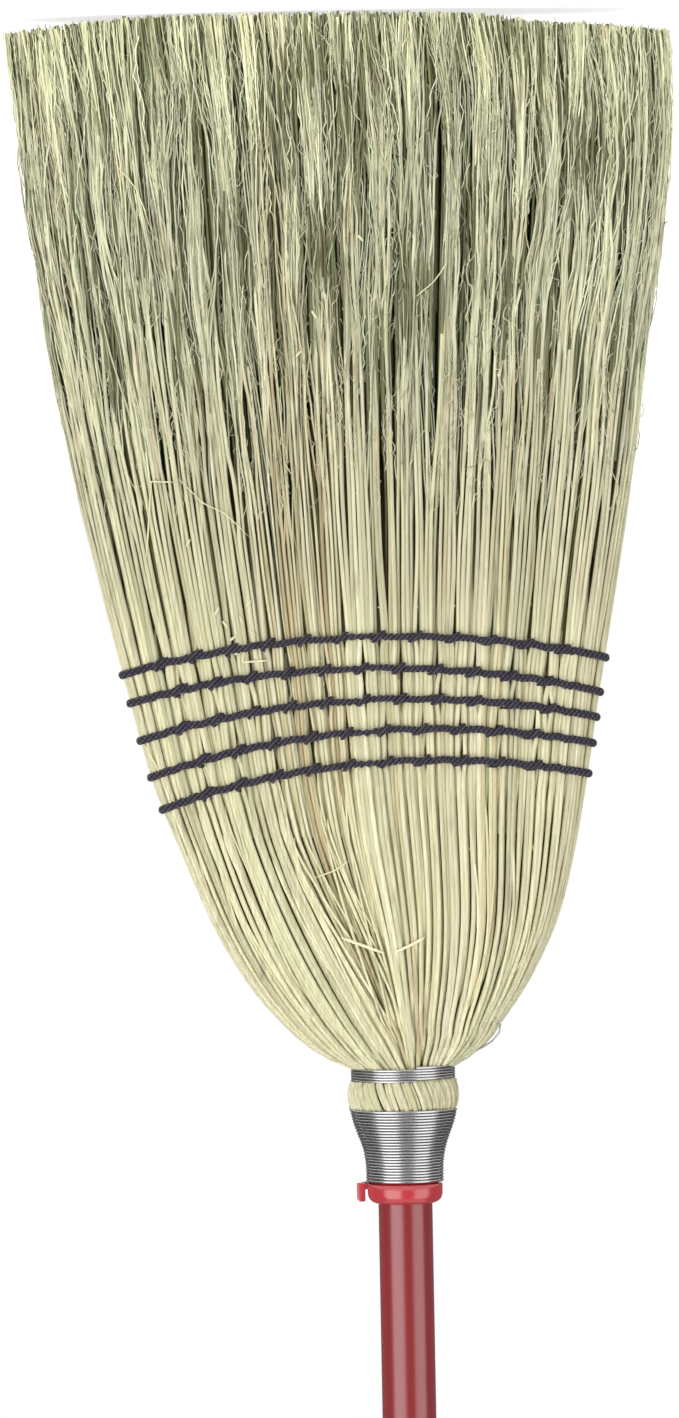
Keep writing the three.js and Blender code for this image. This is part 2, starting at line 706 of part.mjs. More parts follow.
/** Three corners of a row's twine, whose angle round the fan may change with the rise. */
function twineCorners(row, angleAt, stitched) {
  const reach = (stitched ? STITCH_REACH : TWINE_WIDTH) / 2;
  const depth = TWINE_DEPTH + (stitched ? STITCH_RAISE : 0);
  const corner = (rise, out) => {
    const angle = angleAt(rise);
    const across = outlineShare(Math.cos(angle), coverSection(rowHeight(row, 0)).power);
    return outlinePoint(drawnIn(coverSection(rowHeight(row, across) + rise), -out), angle);
  };
  return [corner(0, TWINE_GAP + depth), corner(reach, TWINE_GAP), corner(-reach, TWINE_GAP)];
}

/** One sewn row: a twine round the fan, with the slanted stitches that bind it on both faces. */
function stitchRow(row) {
  const skin = new Skin();
  const middle = coverSection(rowHeight(row, 0));
  const endAngle = (END_TURN_SHARES.at(-1) * Math.PI) / 2;
  const rowReach = middle.halfWidth * outlineShare(Math.cos(endAngle), middle.power);
  const stitchReach = STITCH_WIDTH / 2 + STITCH_FLANK + (STITCH_REACH / 2) * STITCH_SLANT_SHARE;
  const span = 2 * Math.min(rowReach - stitchReach, middle.halfWidth - STITCH_END_INSET);
  const count = Math.floor(span / STITCH_PITCH) + 1;
  const places = [];
  for (const face of [1, -1]) {
    const angleOf = (sideways) => {
      const across = sideways / middle.halfWidth;
      return face * Math.acos(Math.sign(across) * Math.abs(across) ** (middle.power / 2));
    };
    for (const turnShare of END_TURN_SHARES) {
      const angle = ((turnShare + (face > 0 ? 0 : 2)) * Math.PI) / 2;
      places.push({ angleAt: () => angle, stitched: false });
    }
    for (let stitch = 0; stitch < count; stitch += 1) {
      const centre = face * STITCH_PITCH * ((count - 1) / 2 - stitch);
      for (const [edge, stitched] of [[-1, false], [-1, true], [1, true], [1, false]]) {
        const offset = edge * (STITCH_WIDTH / 2 + (stitched ? 0 : STITCH_FLANK));
        const angleAt = (rise) => angleOf(centre - face * (offset + rise * STITCH_SLANT_SHARE));
        places.push({ angleAt, stitched });
      }
    }
  }
  const sections = places.map(({ angleAt, stitched }) => skin.ring(twineCorners(row, angleAt, stitched)));
  skin.sweep([...sections, sections[0]]);
  return skin.geometry();
}

/** Solid of revolution about the handle's axis from a closed profile of [radius, height] corners. */
function revolve(profile, sides) {
  const corners = [...profile, profile[0]].map(([radius, height]) => new THREE.Vector2(radius, height));
  return new THREE.LatheGeometry(corners, sides).rotateX(Math.PI / 2);
}

/** Corners of a quarter-round, from one angle to another. */
function quarterRound(radius, height, round, fromAngle, toAngle, steps) {
  return Array.from({ length: steps + 1 }, (_, index) => {
    const angle = THREE.MathUtils.lerp(fromAngle, toAngle, index / steps);
    return [radius + round * Math.cos(angle), height + round * Math.sin(angle)];
  });
}

/** Handle tube, open at both ends. */
function handleTube() {
  return revolve([
    [HANDLE_RADIUS, HANDLE_END_HEIGHT],
    [HANDLE_RADIUS, HANDLE_TOP],
    [HANDLE_BORE_RADIUS, HANDLE_TOP],
    [HANDLE_BORE_RADIUS, HANDLE_END_HEIGHT],
  ], HANDLE_SIDES);
}

/** Cap that plugs the tube: a domed head with two flat sides and a hanging hole through them. */
function hangCap() {
  const headRadius = CAP_HEAD_DIAMETER / 2;
  const plugRadius = HANDLE_BORE_RADIUS - SEAT_GAP;
  const headBase = HANDLE_TOP + SEAT_GAP;
  const headTop = headBase + CAP_HEAD_LENGTH;
  const flatHeight = CAP_HEAD_LENGTH - CAP_FLANGE_LENGTH + CUT_OVERRUN;
  const profile = [
    [0, headBase - CAP_PLUG_LENGTH],
    [plugRadius - CAP_EDGE, headBase - CAP_PLUG_LENGTH],
    [plugRadius, headBase - CAP_PLUG_LENGTH + CAP_EDGE],
    [plugRadius, headBase],
    [headRadius - CAP_EDGE, headBase],
    [headRadius, headBase + CAP_EDGE],
    ...quarterRound(0, headTop - headRadius, headRadius, 0, Math.PI / 2, 6).slice(0, -1),
    [0, headTop],
  ];
  const corners = profile.map(([radius, height]) => new THREE.Vector2(radius, height));
  let head = toSolid(new THREE.LatheGeometry(corners, CAP_SIDES).rotateX(Math.PI / 2));
  for (const side of [-1, 1]) {
    const depth = headRadius - CAP_FLAT_THICKNESS / 2 + CUT_OVERRUN;
    const flat = new THREE.BoxGeometry(CAP_HEAD_DIAMETER + 2 * CUT_OVERRUN, depth, flatHeight);
    flat.translate(0, side * (CAP_FLAT_THICKNESS + depth) / 2, headTop + CUT_OVERRUN - flatHeight / 2);
    head = head.subtract(toSolid(flat));
  }
  const holeRadius = HANG_HOLE_DIAMETER / 2;
  const hole = new THREE.CylinderGeometry(holeRadius, holeRadius, CAP_HEAD_DIAMETER, HOLE_SIDES);
  hole.translate(0, 0, headTop - HANG_HOLE_DEPTH);
  return toGeometry(head.subtract(toSolid(hole)));
}

/** Collar on the handle: a sleeve inside the straw and the winding, a rounded flange, a side lug. */
function keeperCollar() {
  const radius = COLLAR_DIAMETER / 2;
  const seatRadius = bedRadius(windingRadius(WINDING_TOP));
  const ring = revolve([
    [SLIDE_RADIUS, SLEEVE_BASE],
    [SLEEVE_RADIUS, SLEEVE_BASE],
    [SLEEVE_RADIUS, BUTT_HEIGHT + SEAT_GAP],
    [seatRadius, BUTT_HEIGHT + SEAT_GAP],
    [seatRadius, COLLAR_BASE],
    [radius, COLLAR_BASE],
    ...quarterRound(radius - COLLAR_ROUND, COLLAR_TOP - COLLAR_ROUND, COLLAR_ROUND, 0, Math.PI / 2, 3),
    [SLIDE_RADIUS, COLLAR_TOP],
  ], COLLAR_SIDES);
  const root = radius - LUG_BRIDGE / 2;
  const inner = radius + LUG_REACH - LUG_BLADE;
  const outer = radius + LUG_REACH;
  const tip = COLLAR_BASE + LUG_LENGTH;
  const outline = new THREE.Shape([
    new THREE.Vector2(root, COLLAR_BASE),
    new THREE.Vector2(outer, COLLAR_BASE),
    new THREE.Vector2(outer, tip - LUG_CHAMFER),
    new THREE.Vector2(outer - LUG_CHAMFER, tip),
    new THREE.Vector2(inner + LUG_CHAMFER / 2, tip),
    new THREE.Vector2(inner, tip - LUG_CHAMFER / 2),
    new THREE.Vector2(inner, COLLAR_BASE + LUG_BRIDGE),
    new THREE.Vector2(root, COLLAR_BASE + LUG_BRIDGE),
  ]);
  const lug = new THREE.ExtrudeGeometry(outline, { depth: LUG_WIDTH, bevelEnabled: false });
  lug.rotateX(Math.PI / 2).translate(0, LUG_WIDTH / 2, 0);
  return toGeometry(toSolid(ring).add(toSolid(lug)));
}

/** Hidden turns of wire that tie the middle bundle to the handle. */
function insideBinding() {
  const wireRadius = BINDING_WIRE_DIAMETER / 2;
  const turns = Array.from({ length: BINDING_TURNS }, (_, turn) => {
    const height = BINDING_BASE + wireRadius + turn * BINDING_WIRE_DIAMETER;
    return quarterRound(BINDING_RADIUS - wireRadius, height, wireRadius, -Math.PI / 4, Math.PI / 4, 1);
  });
  return revolve([
    [CORE_NECK_RADIUS + SEAT_GAP, BINDING_BASE],
    ...turns.flat(),
    [CORE_NECK_RADIUS + SEAT_GAP, BINDING_TOP],
  ], BINDING_SIDES);
}

const broom = new THREE.Group();

/** Adds one named piece to the broom. */
function addPiece(name, geometry, material) {
  const piece = new THREE.Mesh(geometry, material);
  piece.name = name;
  broom.add(piece);
}

addPiece("handle_tube", handleTube(), coatedSteel);
addPiece("hang_cap", hangCap(), redPlastic);
addPiece("keeper_collar", keeperCollar(), redPlastic);
addPiece("neck_wire", neckWire(), brightWire);
addPiece("cover_hurl", coverHurl(), coverStraw);
addPiece("inside_corn", insideCorn(), innerStraw);
addPiece("shoulder_left", shoulder(1), innerStraw);
addPiece("shoulder_right", shoulder(-1), innerStraw);
addPiece("inside_binding", insideBinding(), brightWire);
for (let row = 0; row < ROW_COUNT; row += 1) {
  addPiece(`stitch_row_${row + 1}`, stitchRow(row), navyTwine);
}
console.log(`Loose straws: ${looseStraws}`);

export default broom;
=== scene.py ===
"""Looks of a flat-sewn straw broom: its straw, wire, twine, collar and handle, and a plain studio."""

import logging
import math
from dataclasses import dataclass
from enum import Enum
from typing import Callable, Optional, Sequence, Union

import bpy
import numpy as np
from bpy.types import Material, Mesh, Object
from mathutils import Matrix, Vector


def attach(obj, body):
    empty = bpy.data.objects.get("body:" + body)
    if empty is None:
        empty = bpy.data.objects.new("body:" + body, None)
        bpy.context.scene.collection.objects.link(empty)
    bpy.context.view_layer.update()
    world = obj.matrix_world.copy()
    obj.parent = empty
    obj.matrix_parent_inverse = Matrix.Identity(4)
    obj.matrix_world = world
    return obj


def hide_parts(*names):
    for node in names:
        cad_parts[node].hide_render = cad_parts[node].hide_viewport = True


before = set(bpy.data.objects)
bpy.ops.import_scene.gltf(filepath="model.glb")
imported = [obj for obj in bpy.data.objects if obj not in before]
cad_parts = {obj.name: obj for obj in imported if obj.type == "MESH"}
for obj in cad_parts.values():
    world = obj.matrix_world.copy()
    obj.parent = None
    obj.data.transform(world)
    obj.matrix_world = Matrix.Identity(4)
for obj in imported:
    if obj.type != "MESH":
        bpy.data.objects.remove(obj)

log = logging.getLogger("broom")

MM = 0.001
FULL_TURN = 2.0 * math.pi
GOLDEN_SHARE = 0.618034
MATERIAL_OUTPUT = "ShaderNodeOutputMaterial"

Array = np.ndarray
Number = Union[float, Array]
Pair = tuple[float, float]
Rows = Sequence[Sequence[float]]
Colour = tuple[float, float, float]
Stops = Sequence[tuple[float, Colour]]
Sockets = dict[Union[str, int], object]


class Face(Enum):
    """The two broad faces of the fan, by the sign of Y."""

    FRONT = -1
    BACK = 1


class Slot(Enum):
    """Material slots of the record."""

    HANDLE = "handle_coating"
    PLASTIC = "red_plastic"
    WIRE = "bright_wire"
    COVER = "cover_straw"
    INNER = "inner_straw"
    TWINE = "navy_twine"


def linear(colour: Colour) -> tuple[float, ...]:
    """Turns a screen colour, from 0 to 255, into the shader's linear one with full alpha."""
    parts = [part / 255.0 for part in colour]
    return (*[part / 12.92 if part <= 0.04045 else ((part + 0.055) / 1.055) ** 2.4 for part in parts], 1.0)


def eased(value: Number, start: float, end: float) -> Number:
    """Smooth change from 0 at start to 1 at end, whichever of them is higher."""
    part = np.clip((value - start) / (end - start), 0, 1)
    return part * part * (3 - 2 * part)


def smooth_value(place: Array, rows: Rows) -> Array:
    """Smooth value of a table, with no overshoot between two of its rows.

    Args:
        place: Places to look up.
        rows: Rows of place and value, in rising order of place.

    Returns:
        The value at each place.
    """
    places, values = np.array(rows, float).T
    steps = np.diff(places)
    secants = np.diff(values) / steps
    product, total = secants[:-1] * secants[1:], secants[:-1] + secants[1:]
    inner = np.where(product > 0, 2 * product / np.where(total == 0, 1, total), 0)
    slopes = np.concatenate([secants[:1], inner, secants[-1:]])
    at = np.clip(place, places[0], places[-1])
    row = np.clip(np.searchsorted(places, at, side="right") - 1, 0, len(places) - 2)
    part = (at - places[row]) / steps[row]
    ease = part * part * (3 - 2 * part)
    bend = slopes[row] * part * (1 - part) ** 2 - slopes[row + 1] * part * part * (1 - part)
    return values[row] + (values[row + 1] - values[row]) * ease + steps[row] * bend


def round_axis(radius: Number, turn: Number, height: Number) -> Array:
    """Points at radii, turns and heights round the handle's axis."""
    places = np.broadcast_arrays(radius * np.cos(turn), radius * np.sin(turn), height)
    return np.stack(places, axis=-1)


def new_object(name: str, data: bpy.types.ID) -> Object:
    """Adds an object to the scene.

    Args:
        name: Its name.
        data: Its mesh, camera or lamp.

    Returns:
        The object, at the origin.
    """
    made = bpy.data.objects.new(name, data)
    bpy.context.scene.collection.objects.link(made)
    return made


def keep_result(piece: Object) -> Object:
    """Turns a piece with modifiers into a plain mesh.

    Args:
        piece: The piece.

    Returns:
        The same piece.
    """
    graph = bpy.context.evaluated_depsgraph_get()
    old = piece.data
    piece.data = bpy.data.meshes.new_from_object(piece.evaluated_get(graph), depsgraph=graph)
    piece.modifiers.clear()
    bpy.data.meshes.remove(old)
    piece.data.name = piece.name
    return piece


def finish_edges(piece: Object, width: float) -> None:
    """Rounds a piece's sharp edges.

    Args:
        piece: The piece.
        width: Width of the rounding, in millimetres.
    """
    bevel = piece.modifiers.new("bevel", "BEVEL")
    bevel.width = width * MM
    bevel.segments = 3
    bevel.limit_method = "ANGLE"
    bevel.harden_normals = False
    keep_result(piece).data.shade_smooth()
    piece.data.set_sharp_from_angle(angle=math.radians(50))


def join(first: Object, *others: Object) -> Object:
    """Joins meshes of one material into the first one.

    Args:
        first: The piece that stays.
        others: Pieces that go into it.

    Returns:
        The first piece.
    """
    with bpy.context.temp_override(active_object=first, selected_editable_objects=[first, *others]):
        bpy.ops.object.join()
    return first


def dress(piece: Object, slot: Slot, *nodes: str) -> None:
    """Lets a piece ride on the broom and stand for its solids.

    Args:
        piece: The piece.
        slot: Its material slot; not used.
        nodes: Solids that it replaces.
    """
    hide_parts(*nodes)
    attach(piece, "root")
    log.info("%s: %d faces", piece.name, len(piece.data.polygons))


def lofted(
    name: str, rings: Array, material: Material, capped: bool = True,
    values: Optional[dict[str, float]] = None,
) -> Object:
    """Closed surface through rings of points that run anticlockwise seen from above, lowest first.

    Args:
        name: Name of the piece.
        rings: Rings by points by coordinates, in millimetres.
        material: The piece's material.
        capped: Whether the ends are closed; otherwise the last ring meets the first.
        values: Attributes that are the same all over.

    Returns:
        The piece.
    """
    grid = np.arange(rings.shape[0] * rings.shape[1]).reshape(rings.shape[:2])
    low, high = grid, np.roll(grid, -1, axis=0)
    if capped:
        low, high = low[:-1], high[:-1]
    quads = np.stack([low, np.roll(low, -1, axis=1), np.roll(high, -1, axis=1), high], axis=-1)
    ends = [grid[0, ::-1].tolist(), grid[-1].tolist()] if capped else []
    mesh = bpy.data.meshes.new(name)
    mesh.from_pydata((rings.reshape(-1, 3) * MM).tolist(), [], quads.reshape(-1, 4).tolist() + ends)
    mesh.shade_smooth()
    for label, value in (values or {}).items():
        attribute = mesh.attributes.new(label, "FLOAT", "POINT")
        attribute.data.foreach_set("value", np.full(grid.size, value, np.float32))
    mesh.materials.append(material)
    return new_object(name, mesh)


def turned(name: str, profile: Rows, sides: int, material: Material, capped: bool = False) -> Object:
    """Turned piece from a profile of radius and height, which runs up the outside.

    Args:
        name: Name of the piece.
        profile: Corners of radius and height, in millimetres.
        sides: Sides round the axis.
        material: The piece's material.
        capped: Whether the profile is open, with its ends on the axis; otherwise it is a ring's.

    Returns:
        The piece.
    """
    radii, heights = np.array(profile, float).T
    turns = np.arange(sides) / sides * FULL_TURN
    return lofted(name, round_axis(radii[:, None], turns, heights[:, None]), material, capped)


def operator(operation: str, swapped: bool = False) -> Callable[..., "Channel"]:
    """Makes one operator of a channel.

    Args:
        operation: Name of the Math node's operation.
        swapped: Whether the channel itself is the second value.

    Returns:
        A method that takes the other value, if there is one.
    """

    def apply(self: "Channel", other: "Value" = 0.0) -> "Channel":
        """Result of the operation on the channel and the other value."""
        values = {0: other, 1: self} if swapped else {0: self, 1: other}
        return self.shop.result("ShaderNodeMath", {"operation": operation}, values)

    return apply


class Channel:
    """An output socket that can be used in sums; each operator adds a Math node to its tree."""

    __add__, __radd__ = operator("ADD"), operator("ADD", swapped=True)
    __sub__, __mul__, __truediv__ = operator("SUBTRACT"), operator("MULTIPLY"), operator("DIVIDE")
    sine, cosine = operator("SINE"), operator("COSINE")
    at_least, at_most = operator("MAXIMUM"), operator("MINIMUM")

    def __init__(self, shop: "Workshop", socket: bpy.types.NodeSocket) -> None:
        """Wraps one output socket of a tree."""
        self.shop, self.socket = shop, socket

    def within(self, low: float, high: float) -> "Channel":
        """The value, kept between two bounds."""
        return self.at_least(low).at_most(high)


Value = Union[Channel, float]


class Workshop:
    """Adds nodes to one node tree."""

    def __init__(self, tree: bpy.types.NodeTree) -> None:
        """Starts on an emptied tree."""
        self.tree = tree
        tree.nodes.clear()

    def node(
        self, kind: str, settings: Optional[dict[str, object]] = None, values: Optional[Sockets] = None
    ) -> bpy.types.Node:
        """Adds one node.

        Args:
            kind: The node's type.
            settings: Its own settings, which are set first.
            values: A value or a link for each named or numbered input socket.

        Returns:
            The node.
        """
        made = self.tree.nodes.new(kind)
        for name, value in (settings or {}).items():
            setattr(made, name, value)
        for name, value in (values or {}).items():
            if isinstance(value, Channel):
                self.tree.links.new(value.socket, made.inputs[name])
            else:
                made.inputs[name].default_value = value
        return made

    def result(
        self, kind: str, settings: Optional[dict[str, object]] = None, values: Optional[Sockets] = None,
        output: Union[str, int] = 0,
    ) -> Channel:
        """Adds one node and gives one of its outputs; the other arguments are those of node."""
        return Channel(self, self.node(kind, settings, values).outputs[output])

    def vector(self, operation: str, first: object, second: object) -> Channel:
        """Vector maths on two values; SCALE takes a number as the second one."""
        values = {0: first, "Scale" if operation == "SCALE" else 1: second}
        return self.result("ShaderNodeVectorMath", {"operation": operation}, values)

    def attribute(self, name: str) -> Channel:
        """Value of a piece's own attribute, in a material."""
        settings = {"attribute_name": name, "attribute_type": "GEOMETRY"}
        return self.result("ShaderNodeAttribute", settings, output="Fac")

    def field(self, name: str) -> Channel:
        """Value of a geometry's named attribute, in a Geometry Nodes tree."""
        kind = "GeometryNodeInputNamedAttribute"
        return self.result(kind, {"data_type": "FLOAT"}, {"Name": name}, "Attribute")

    def grain(self, scale: Sequence[float], size: float, detail: float) -> Channel:
        """Noise on Object coordinates.

        Args:
            scale: Stretch on X, Y and Z.
            size: The noise's own scale.
            detail: Octaves of the noise.

        Returns:
            Noise from 0 to 1.
        """
        place = self.result("ShaderNodeTexCoord", output="Object")
        mapped = self.result("ShaderNodeMapping", {}, {"Vector": place, "Scale": scale})
        values = {"Vector": mapped, "Scale": size, "Detail": detail, "Roughness": 0.6}
        return self.result("ShaderNodeTexNoise", {"noise_dimensions": "3D"}, values)

    def mix(self, share: Value, first: object, second: object, blend: str = "MIX") -> Channel:
        """Mix of two colours, with the second one's share and a way of blending."""
        settings = {"data_type": "RGBA", "blend_type": blend}
        return self.result("ShaderNodeMix", settings, {0: share, 6: first, 7: second}, 2)

    def ramp(self, value: Channel, stops: Stops) -> Channel:
        """Colour ramp over a value.

        Args:
            value: Value from 0 to 1.
            stops: Places and colours, as seen on a screen.

        Returns:
            The colour.
        """
        made = self.node("ShaderNodeValToRGB", {}, {0: value})
        elements = made.color_ramp.elements
        while len(elements) < len(stops):
            elements.new(0.5)
        for element, (place, colour) in zip(elements, stops):
            element.position = place
            element.color = linear(colour)
        return Channel(self, made.outputs["Color"])

    def bump(self, height: Channel, strength: float, distance: float) -> Channel:
        """Bumped normal from a height from 0 to 1, with a depth in metres."""
        values = {"Height": height, "Strength": strength, "Distance": distance}
        return self.result("ShaderNodeBump", {}, values)

    def end(self, kind: str, surface: Channel) -> None:
        """Ends a material's or a world's tree in its output node."""
        self.node(kind, {}, {"Surface": surface})

    def seen(self, *kinds: str) -> Channel:
        """1 for rays of these kinds, otherwise 0."""
        path = self.node("ShaderNodeLightPath")
        return sum(Channel(self, path.outputs[f"Is {kind} Ray"]) for kind in kinds).at_most(1.0)


def new_material(name: str) -> tuple[Material, Workshop]:
    """Makes an empty material.

    Args:
        name: Its name.

    Returns:
        The material and the workshop for its nodes.
    """
    material = bpy.data.materials.new(name)
    material.use_nodes = True
    return material, Workshop(material.node_tree)


@dataclass(frozen=True)
class Finish:
    """A finish, whose material has one glossy or matte shader over its own layers."""

    name: str

    def sockets(self, shop: Workshop) -> Sockets:
        """The shader's sockets; each kind of finish has its own."""
        raise NotImplementedError

    def build(self) -> Material:
        """Makes the material.

        Returns:
            The material.
        """
        material, shop = new_material(self.name)
        shop.end(MATERIAL_OUTPUT, shop.result("ShaderNodeBsdfPrincipled", {}, self.sockets(shop)))
        return material


@dataclass(frozen=True)
class StrawFinish(Finish):
    """Dry broomcorn: each straw's own tint, fine grain along it, specks and a soft sheen."""

    tints: Stops
    tips: Colour
    tip_share: float = 0.5
    streaks: Stops = ((0.3, (176, 168, 140)), (0.7, (255, 255, 255)))
    streak_share: float = 0.55
    speck: Colour = (120, 92, 62)
    speck_share: float = 0.35
    roughness: float = 0.58
    relief: float = 0.00012

    def sockets(self, shop: Workshop) -> Sockets:
        """Layers of dry straw, which read the attributes tint, shade and along.

        Args:
            shop: Adds the material's nodes.

        Returns:
            The shader's sockets.
        """
        streak = shop.grain((1.0, 1.0, 0.03), 900.0, 4.0)
        blotch = shop.grain((1.0, 1.0, 0.22), 120.0, 3.0)
        own = shop.ramp(shop.attribute("tint"), self.tints)
        aged = shop.mix(shop.attribute("along") * self.tip_share, own, linear(self.tips))
        grained = shop.mix(self.streak_share, aged, shop.ramp(streak, self.streaks), "MULTIPLY")
        spots = ((blotch - 0.6) * 9.0).within(0.0, 1.0)
        specked = shop.mix(spots * self.speck_share, grained, linear(self.speck))
        # The shade attribute scales the colour: each straw's own tone, a brightness set by height, and
        # painted shade on straws that lie deep and on the cores.
        shade = shop.attribute("shade")
        grey = shop.result("ShaderNodeCombineColor", {}, {0: shade, 1: shade, 2: shade})
        return {
            "Base Color": shop.mix(1.0, specked, grey, "MULTIPLY"),
            "Roughness": self.roughness + (streak - 0.5) * 0.25,
            "Specular IOR Level": 0.35,
            "Normal": shop.bump(streak, 0.5, self.relief),
        }


@dataclass(frozen=True)
class WireFinish(Finish):
    """Drawn steel wire: grey, bright, with faint drawing marks and a little dulling."""

    bright: Colour = (186, 184, 184)
    dull: Colour = (150, 149, 152)
    roughness: float = 0.26

    def sockets(self, shop: Workshop) -> Sockets:
        """Layers of drawn wire.

        Args:
            shop: Adds the material's nodes.

        Returns:
            The shader's sockets.
        """
        marks = shop.grain((1.0, 1.0, 6.0), 260.0, 4.0)
        patches = shop.grain((1.0, 1.0, 1.0), 45.0, 2.0)
        return {
            "Base Color": shop.mix(patches, linear(self.dull), linear(self.bright)),
            "Metallic": 1.0,
            "Roughness": self.roughness + (marks - 0.5) * 0.16,
            "Normal": shop.bump(marks, 0.25, 0.00003),
        }


@dataclass(frozen=True)
class PlasticFinish(Finish):
    """Moulded red plastic: soft gloss, faint flow marks and fine pores."""

    body: Colour = (184, 46, 52)
    worn: Colour = (192, 66, 72)
    roughness: float = 0.22

    def sockets(self, shop: Workshop) -> Sockets:
        """Layers of moulded plastic.

        Args:
            shop: Adds the material's nodes.

        Returns:
            The shader's sockets.
        """
        flow = shop.grain((1.0, 1.0, 0.4), 90.0, 4.0)
        pores = shop.grain((1.0, 1.0, 1.0), 1500.0, 2.0)
        return {
            "Base Color": shop.mix(flow * 0.6, linear(self.body), linear(self.worn)),
            "Roughness": self.roughness + (pores - 0.5) * 0.12,
            "Specular IOR Level": 0.7,
            "Normal": shop.bump(pores, 0.2, 0.00004),
        }


@dataclass(frozen=True)
class CoatingFinish(Finish):
    """Red film over a steel tube: deep colour under a glossy skin, with fine lengthwise drag marks."""

    body: Colour = (142, 39, 43)
    deep: Colour = (127, 33, 37)
    roughness: float = 0.3

    def sockets(self, shop: Workshop) -> Sockets:
        """Layers of coloured film.

        Args:
            shop: Adds the material's nodes.

        Returns:
            The shader's sockets.
        """
        drag = shop.grain((1.0, 1.0, 0.02), 420.0, 4.0)
        cloud = shop.grain((1.0, 1.0, 0.3), 30.0, 2.0)
        return {
            "Base Color": shop.mix(cloud, linear(self.body), linear(self.deep)),
            "Roughness": self.roughness + (drag - 0.5) * 0.1,
            "Specular IOR Level": 0.5,
            "Coat Weight": 0.4,
            "Coat Roughness": 0.19,
            "Normal": shop.bump(drag, 0.15, 0.00003),
        }


@dataclass(frozen=True)
class TwineFinish(Finish):
    """Dark navy sewing twine: matte fibres, lighter where worn, with painted highlight stripes along the
    plies.
    """

    deep: Colour = (44, 40, 50)
    rubbed_and_highlight: Colour = (112, 106, 120)
    ply_pitch: float = 0.0023

    def sockets(self, shop: Workshop) -> Sockets:
        """Layers of twisted fibre, with painted highlight stripes along the plies, which slant the other way
        on each face of the broom.

        Args:
            shop: Adds the material's nodes.

        Returns:
            The shader's sockets.
        """
        fibre = shop.grain((1.0, 1.0, 1.0), 1600.0, 4.0)
        wear = shop.grain((1.0, 1.0, 1.0), 220.0, 3.0)
        coords = shop.result("ShaderNodeTexCoord", output="Object")
        parts = shop.node("ShaderNodeSeparateXYZ", {}, {0: coords})
        across, depth, height = (Channel(shop, output) for output in parts.outputs)
        facing = (depth * 1000.0).within(-1.0, 1.0)
        # Painted highlight: lighter stripes along the plies' crowns, mixed with real wear.
        ply_highlight = ((across + facing * height) * (FULL_TURN / self.ply_pitch)).sine()
        share = ((fibre * 0.6 + wear * 0.7) - 0.45 + (ply_highlight - 0.35) * 0.5).within(0.0, 1.0)
        return {
            "Base Color": shop.mix(share, linear(self.deep), linear(self.rubbed_and_highlight)),
            "Roughness": 0.9,
            "Specular IOR Level": 0.2,
            "Sheen Weight": 0.15,
            "Sheen Roughness": 0.5,
            "Normal": shop.bump(fibre, 0.6, 0.00015),
        }


class Recipe:
    """A Geometry Nodes tree with named inputs, made once and run on guide meshes."""

    def __init__(self, name: str, inputs: dict[str, float]) -> None:
        """Starts a tree.

        Args:
            name: The tree's name.
            inputs: Name and default of each input between the geometry and the material.
        """
        self.tree = bpy.data.node_groups.new(name, "GeometryNodeTree")
        self.shop = Workshop(self.tree)
        face = self.tree.interface
        face.new_socket("Geometry", in_out="INPUT", socket_type="NodeSocketGeometry")
        face.new_socket("Geometry", in_out="OUTPUT", socket_type="NodeSocketGeometry")
        for label, default in inputs.items():
            kind = "NodeSocketInt" if isinstance(default, int) else "NodeSocketFloat"
            face.new_socket(label, in_out="INPUT", socket_type=kind).default_value = default
        face.new_socket("Material", in_out="INPUT", socket_type="NodeSocketMaterial")
        self.entry = self.shop.node("NodeGroupInput")

    def given(self, name: str) -> Channel:
        """One of the tree's inputs."""
        return Channel(self.shop, self.entry.outputs[name])

    def moved(self, geometry: Channel, **values: Channel) -> Channel:
        """The geometry with its points moved by an Offset or to a Position."""
        return self.shop.result("GeometryNodeSetPosition", {}, {"Geometry": geometry, **values})

    def curves(self, geometry: Channel) -> Channel:
        """Curves along a geometry's edges."""
        return self.shop.result("GeometryNodeMeshToCurve", {}, {"Mesh": geometry})

    def tubes(self, curves: Channel, radius: Channel) -> None:
        """Ends the tree: round tubes along the curves, realized and with the material.

        Args:
            curves: The curves to follow.
            radius: Radius of the tube at each point.
        """
        result = self.shop.result
        circle = {"Resolution": self.given("Sides"), "Radius": 1.0}
        ring = result("GeometryNodeCurvePrimitiveCircle", {}, circle)
        sweep = {"Curve": curves, "Profile Curve": ring, "Scale": radius, "Fill Caps": True}
        tube = result("GeometryNodeCurveToMesh", {}, sweep)
        smooth = result("GeometryNodeSetShadeSmooth", {}, {"Geometry": tube})
        real = result("GeometryNodeRealizeInstances", {}, {"Geometry": smooth})
        coat = {"Geometry": real, "Material": self.given("Material")}
        self.shop.node("NodeGroupOutput", {}, {0: result("GeometryNodeSetMaterial", {}, coat)})

    def run(self, name: str, guide: Mesh, material: Material, **sizes: object) -> Object:
        """Runs the tree on a guide mesh and keeps the result as a plain mesh.

        Args:
            name: Name of the piece.
            guide: Mesh that the tree starts from.
            material: Material of the result.
            sizes: Values of the other inputs, by name with _ for each space.

        Returns:
            The finished piece, at the origin.
        """
        piece = new_object(name, guide)
        modifier = piece.modifiers.new("recipe", "NODES")
        modifier.node_group = self.tree
        wanted = {label.replace("_", " "): value for label, value in sizes.items()}
        wanted["Material"] = material
        for item in self.tree.interface.items_tree:
            if item.in_out == "INPUT" and item.name in wanted:
                modifier[item.identifier] = wanted[item.name]
        piece.update_tag()
        return keep_result(piece)


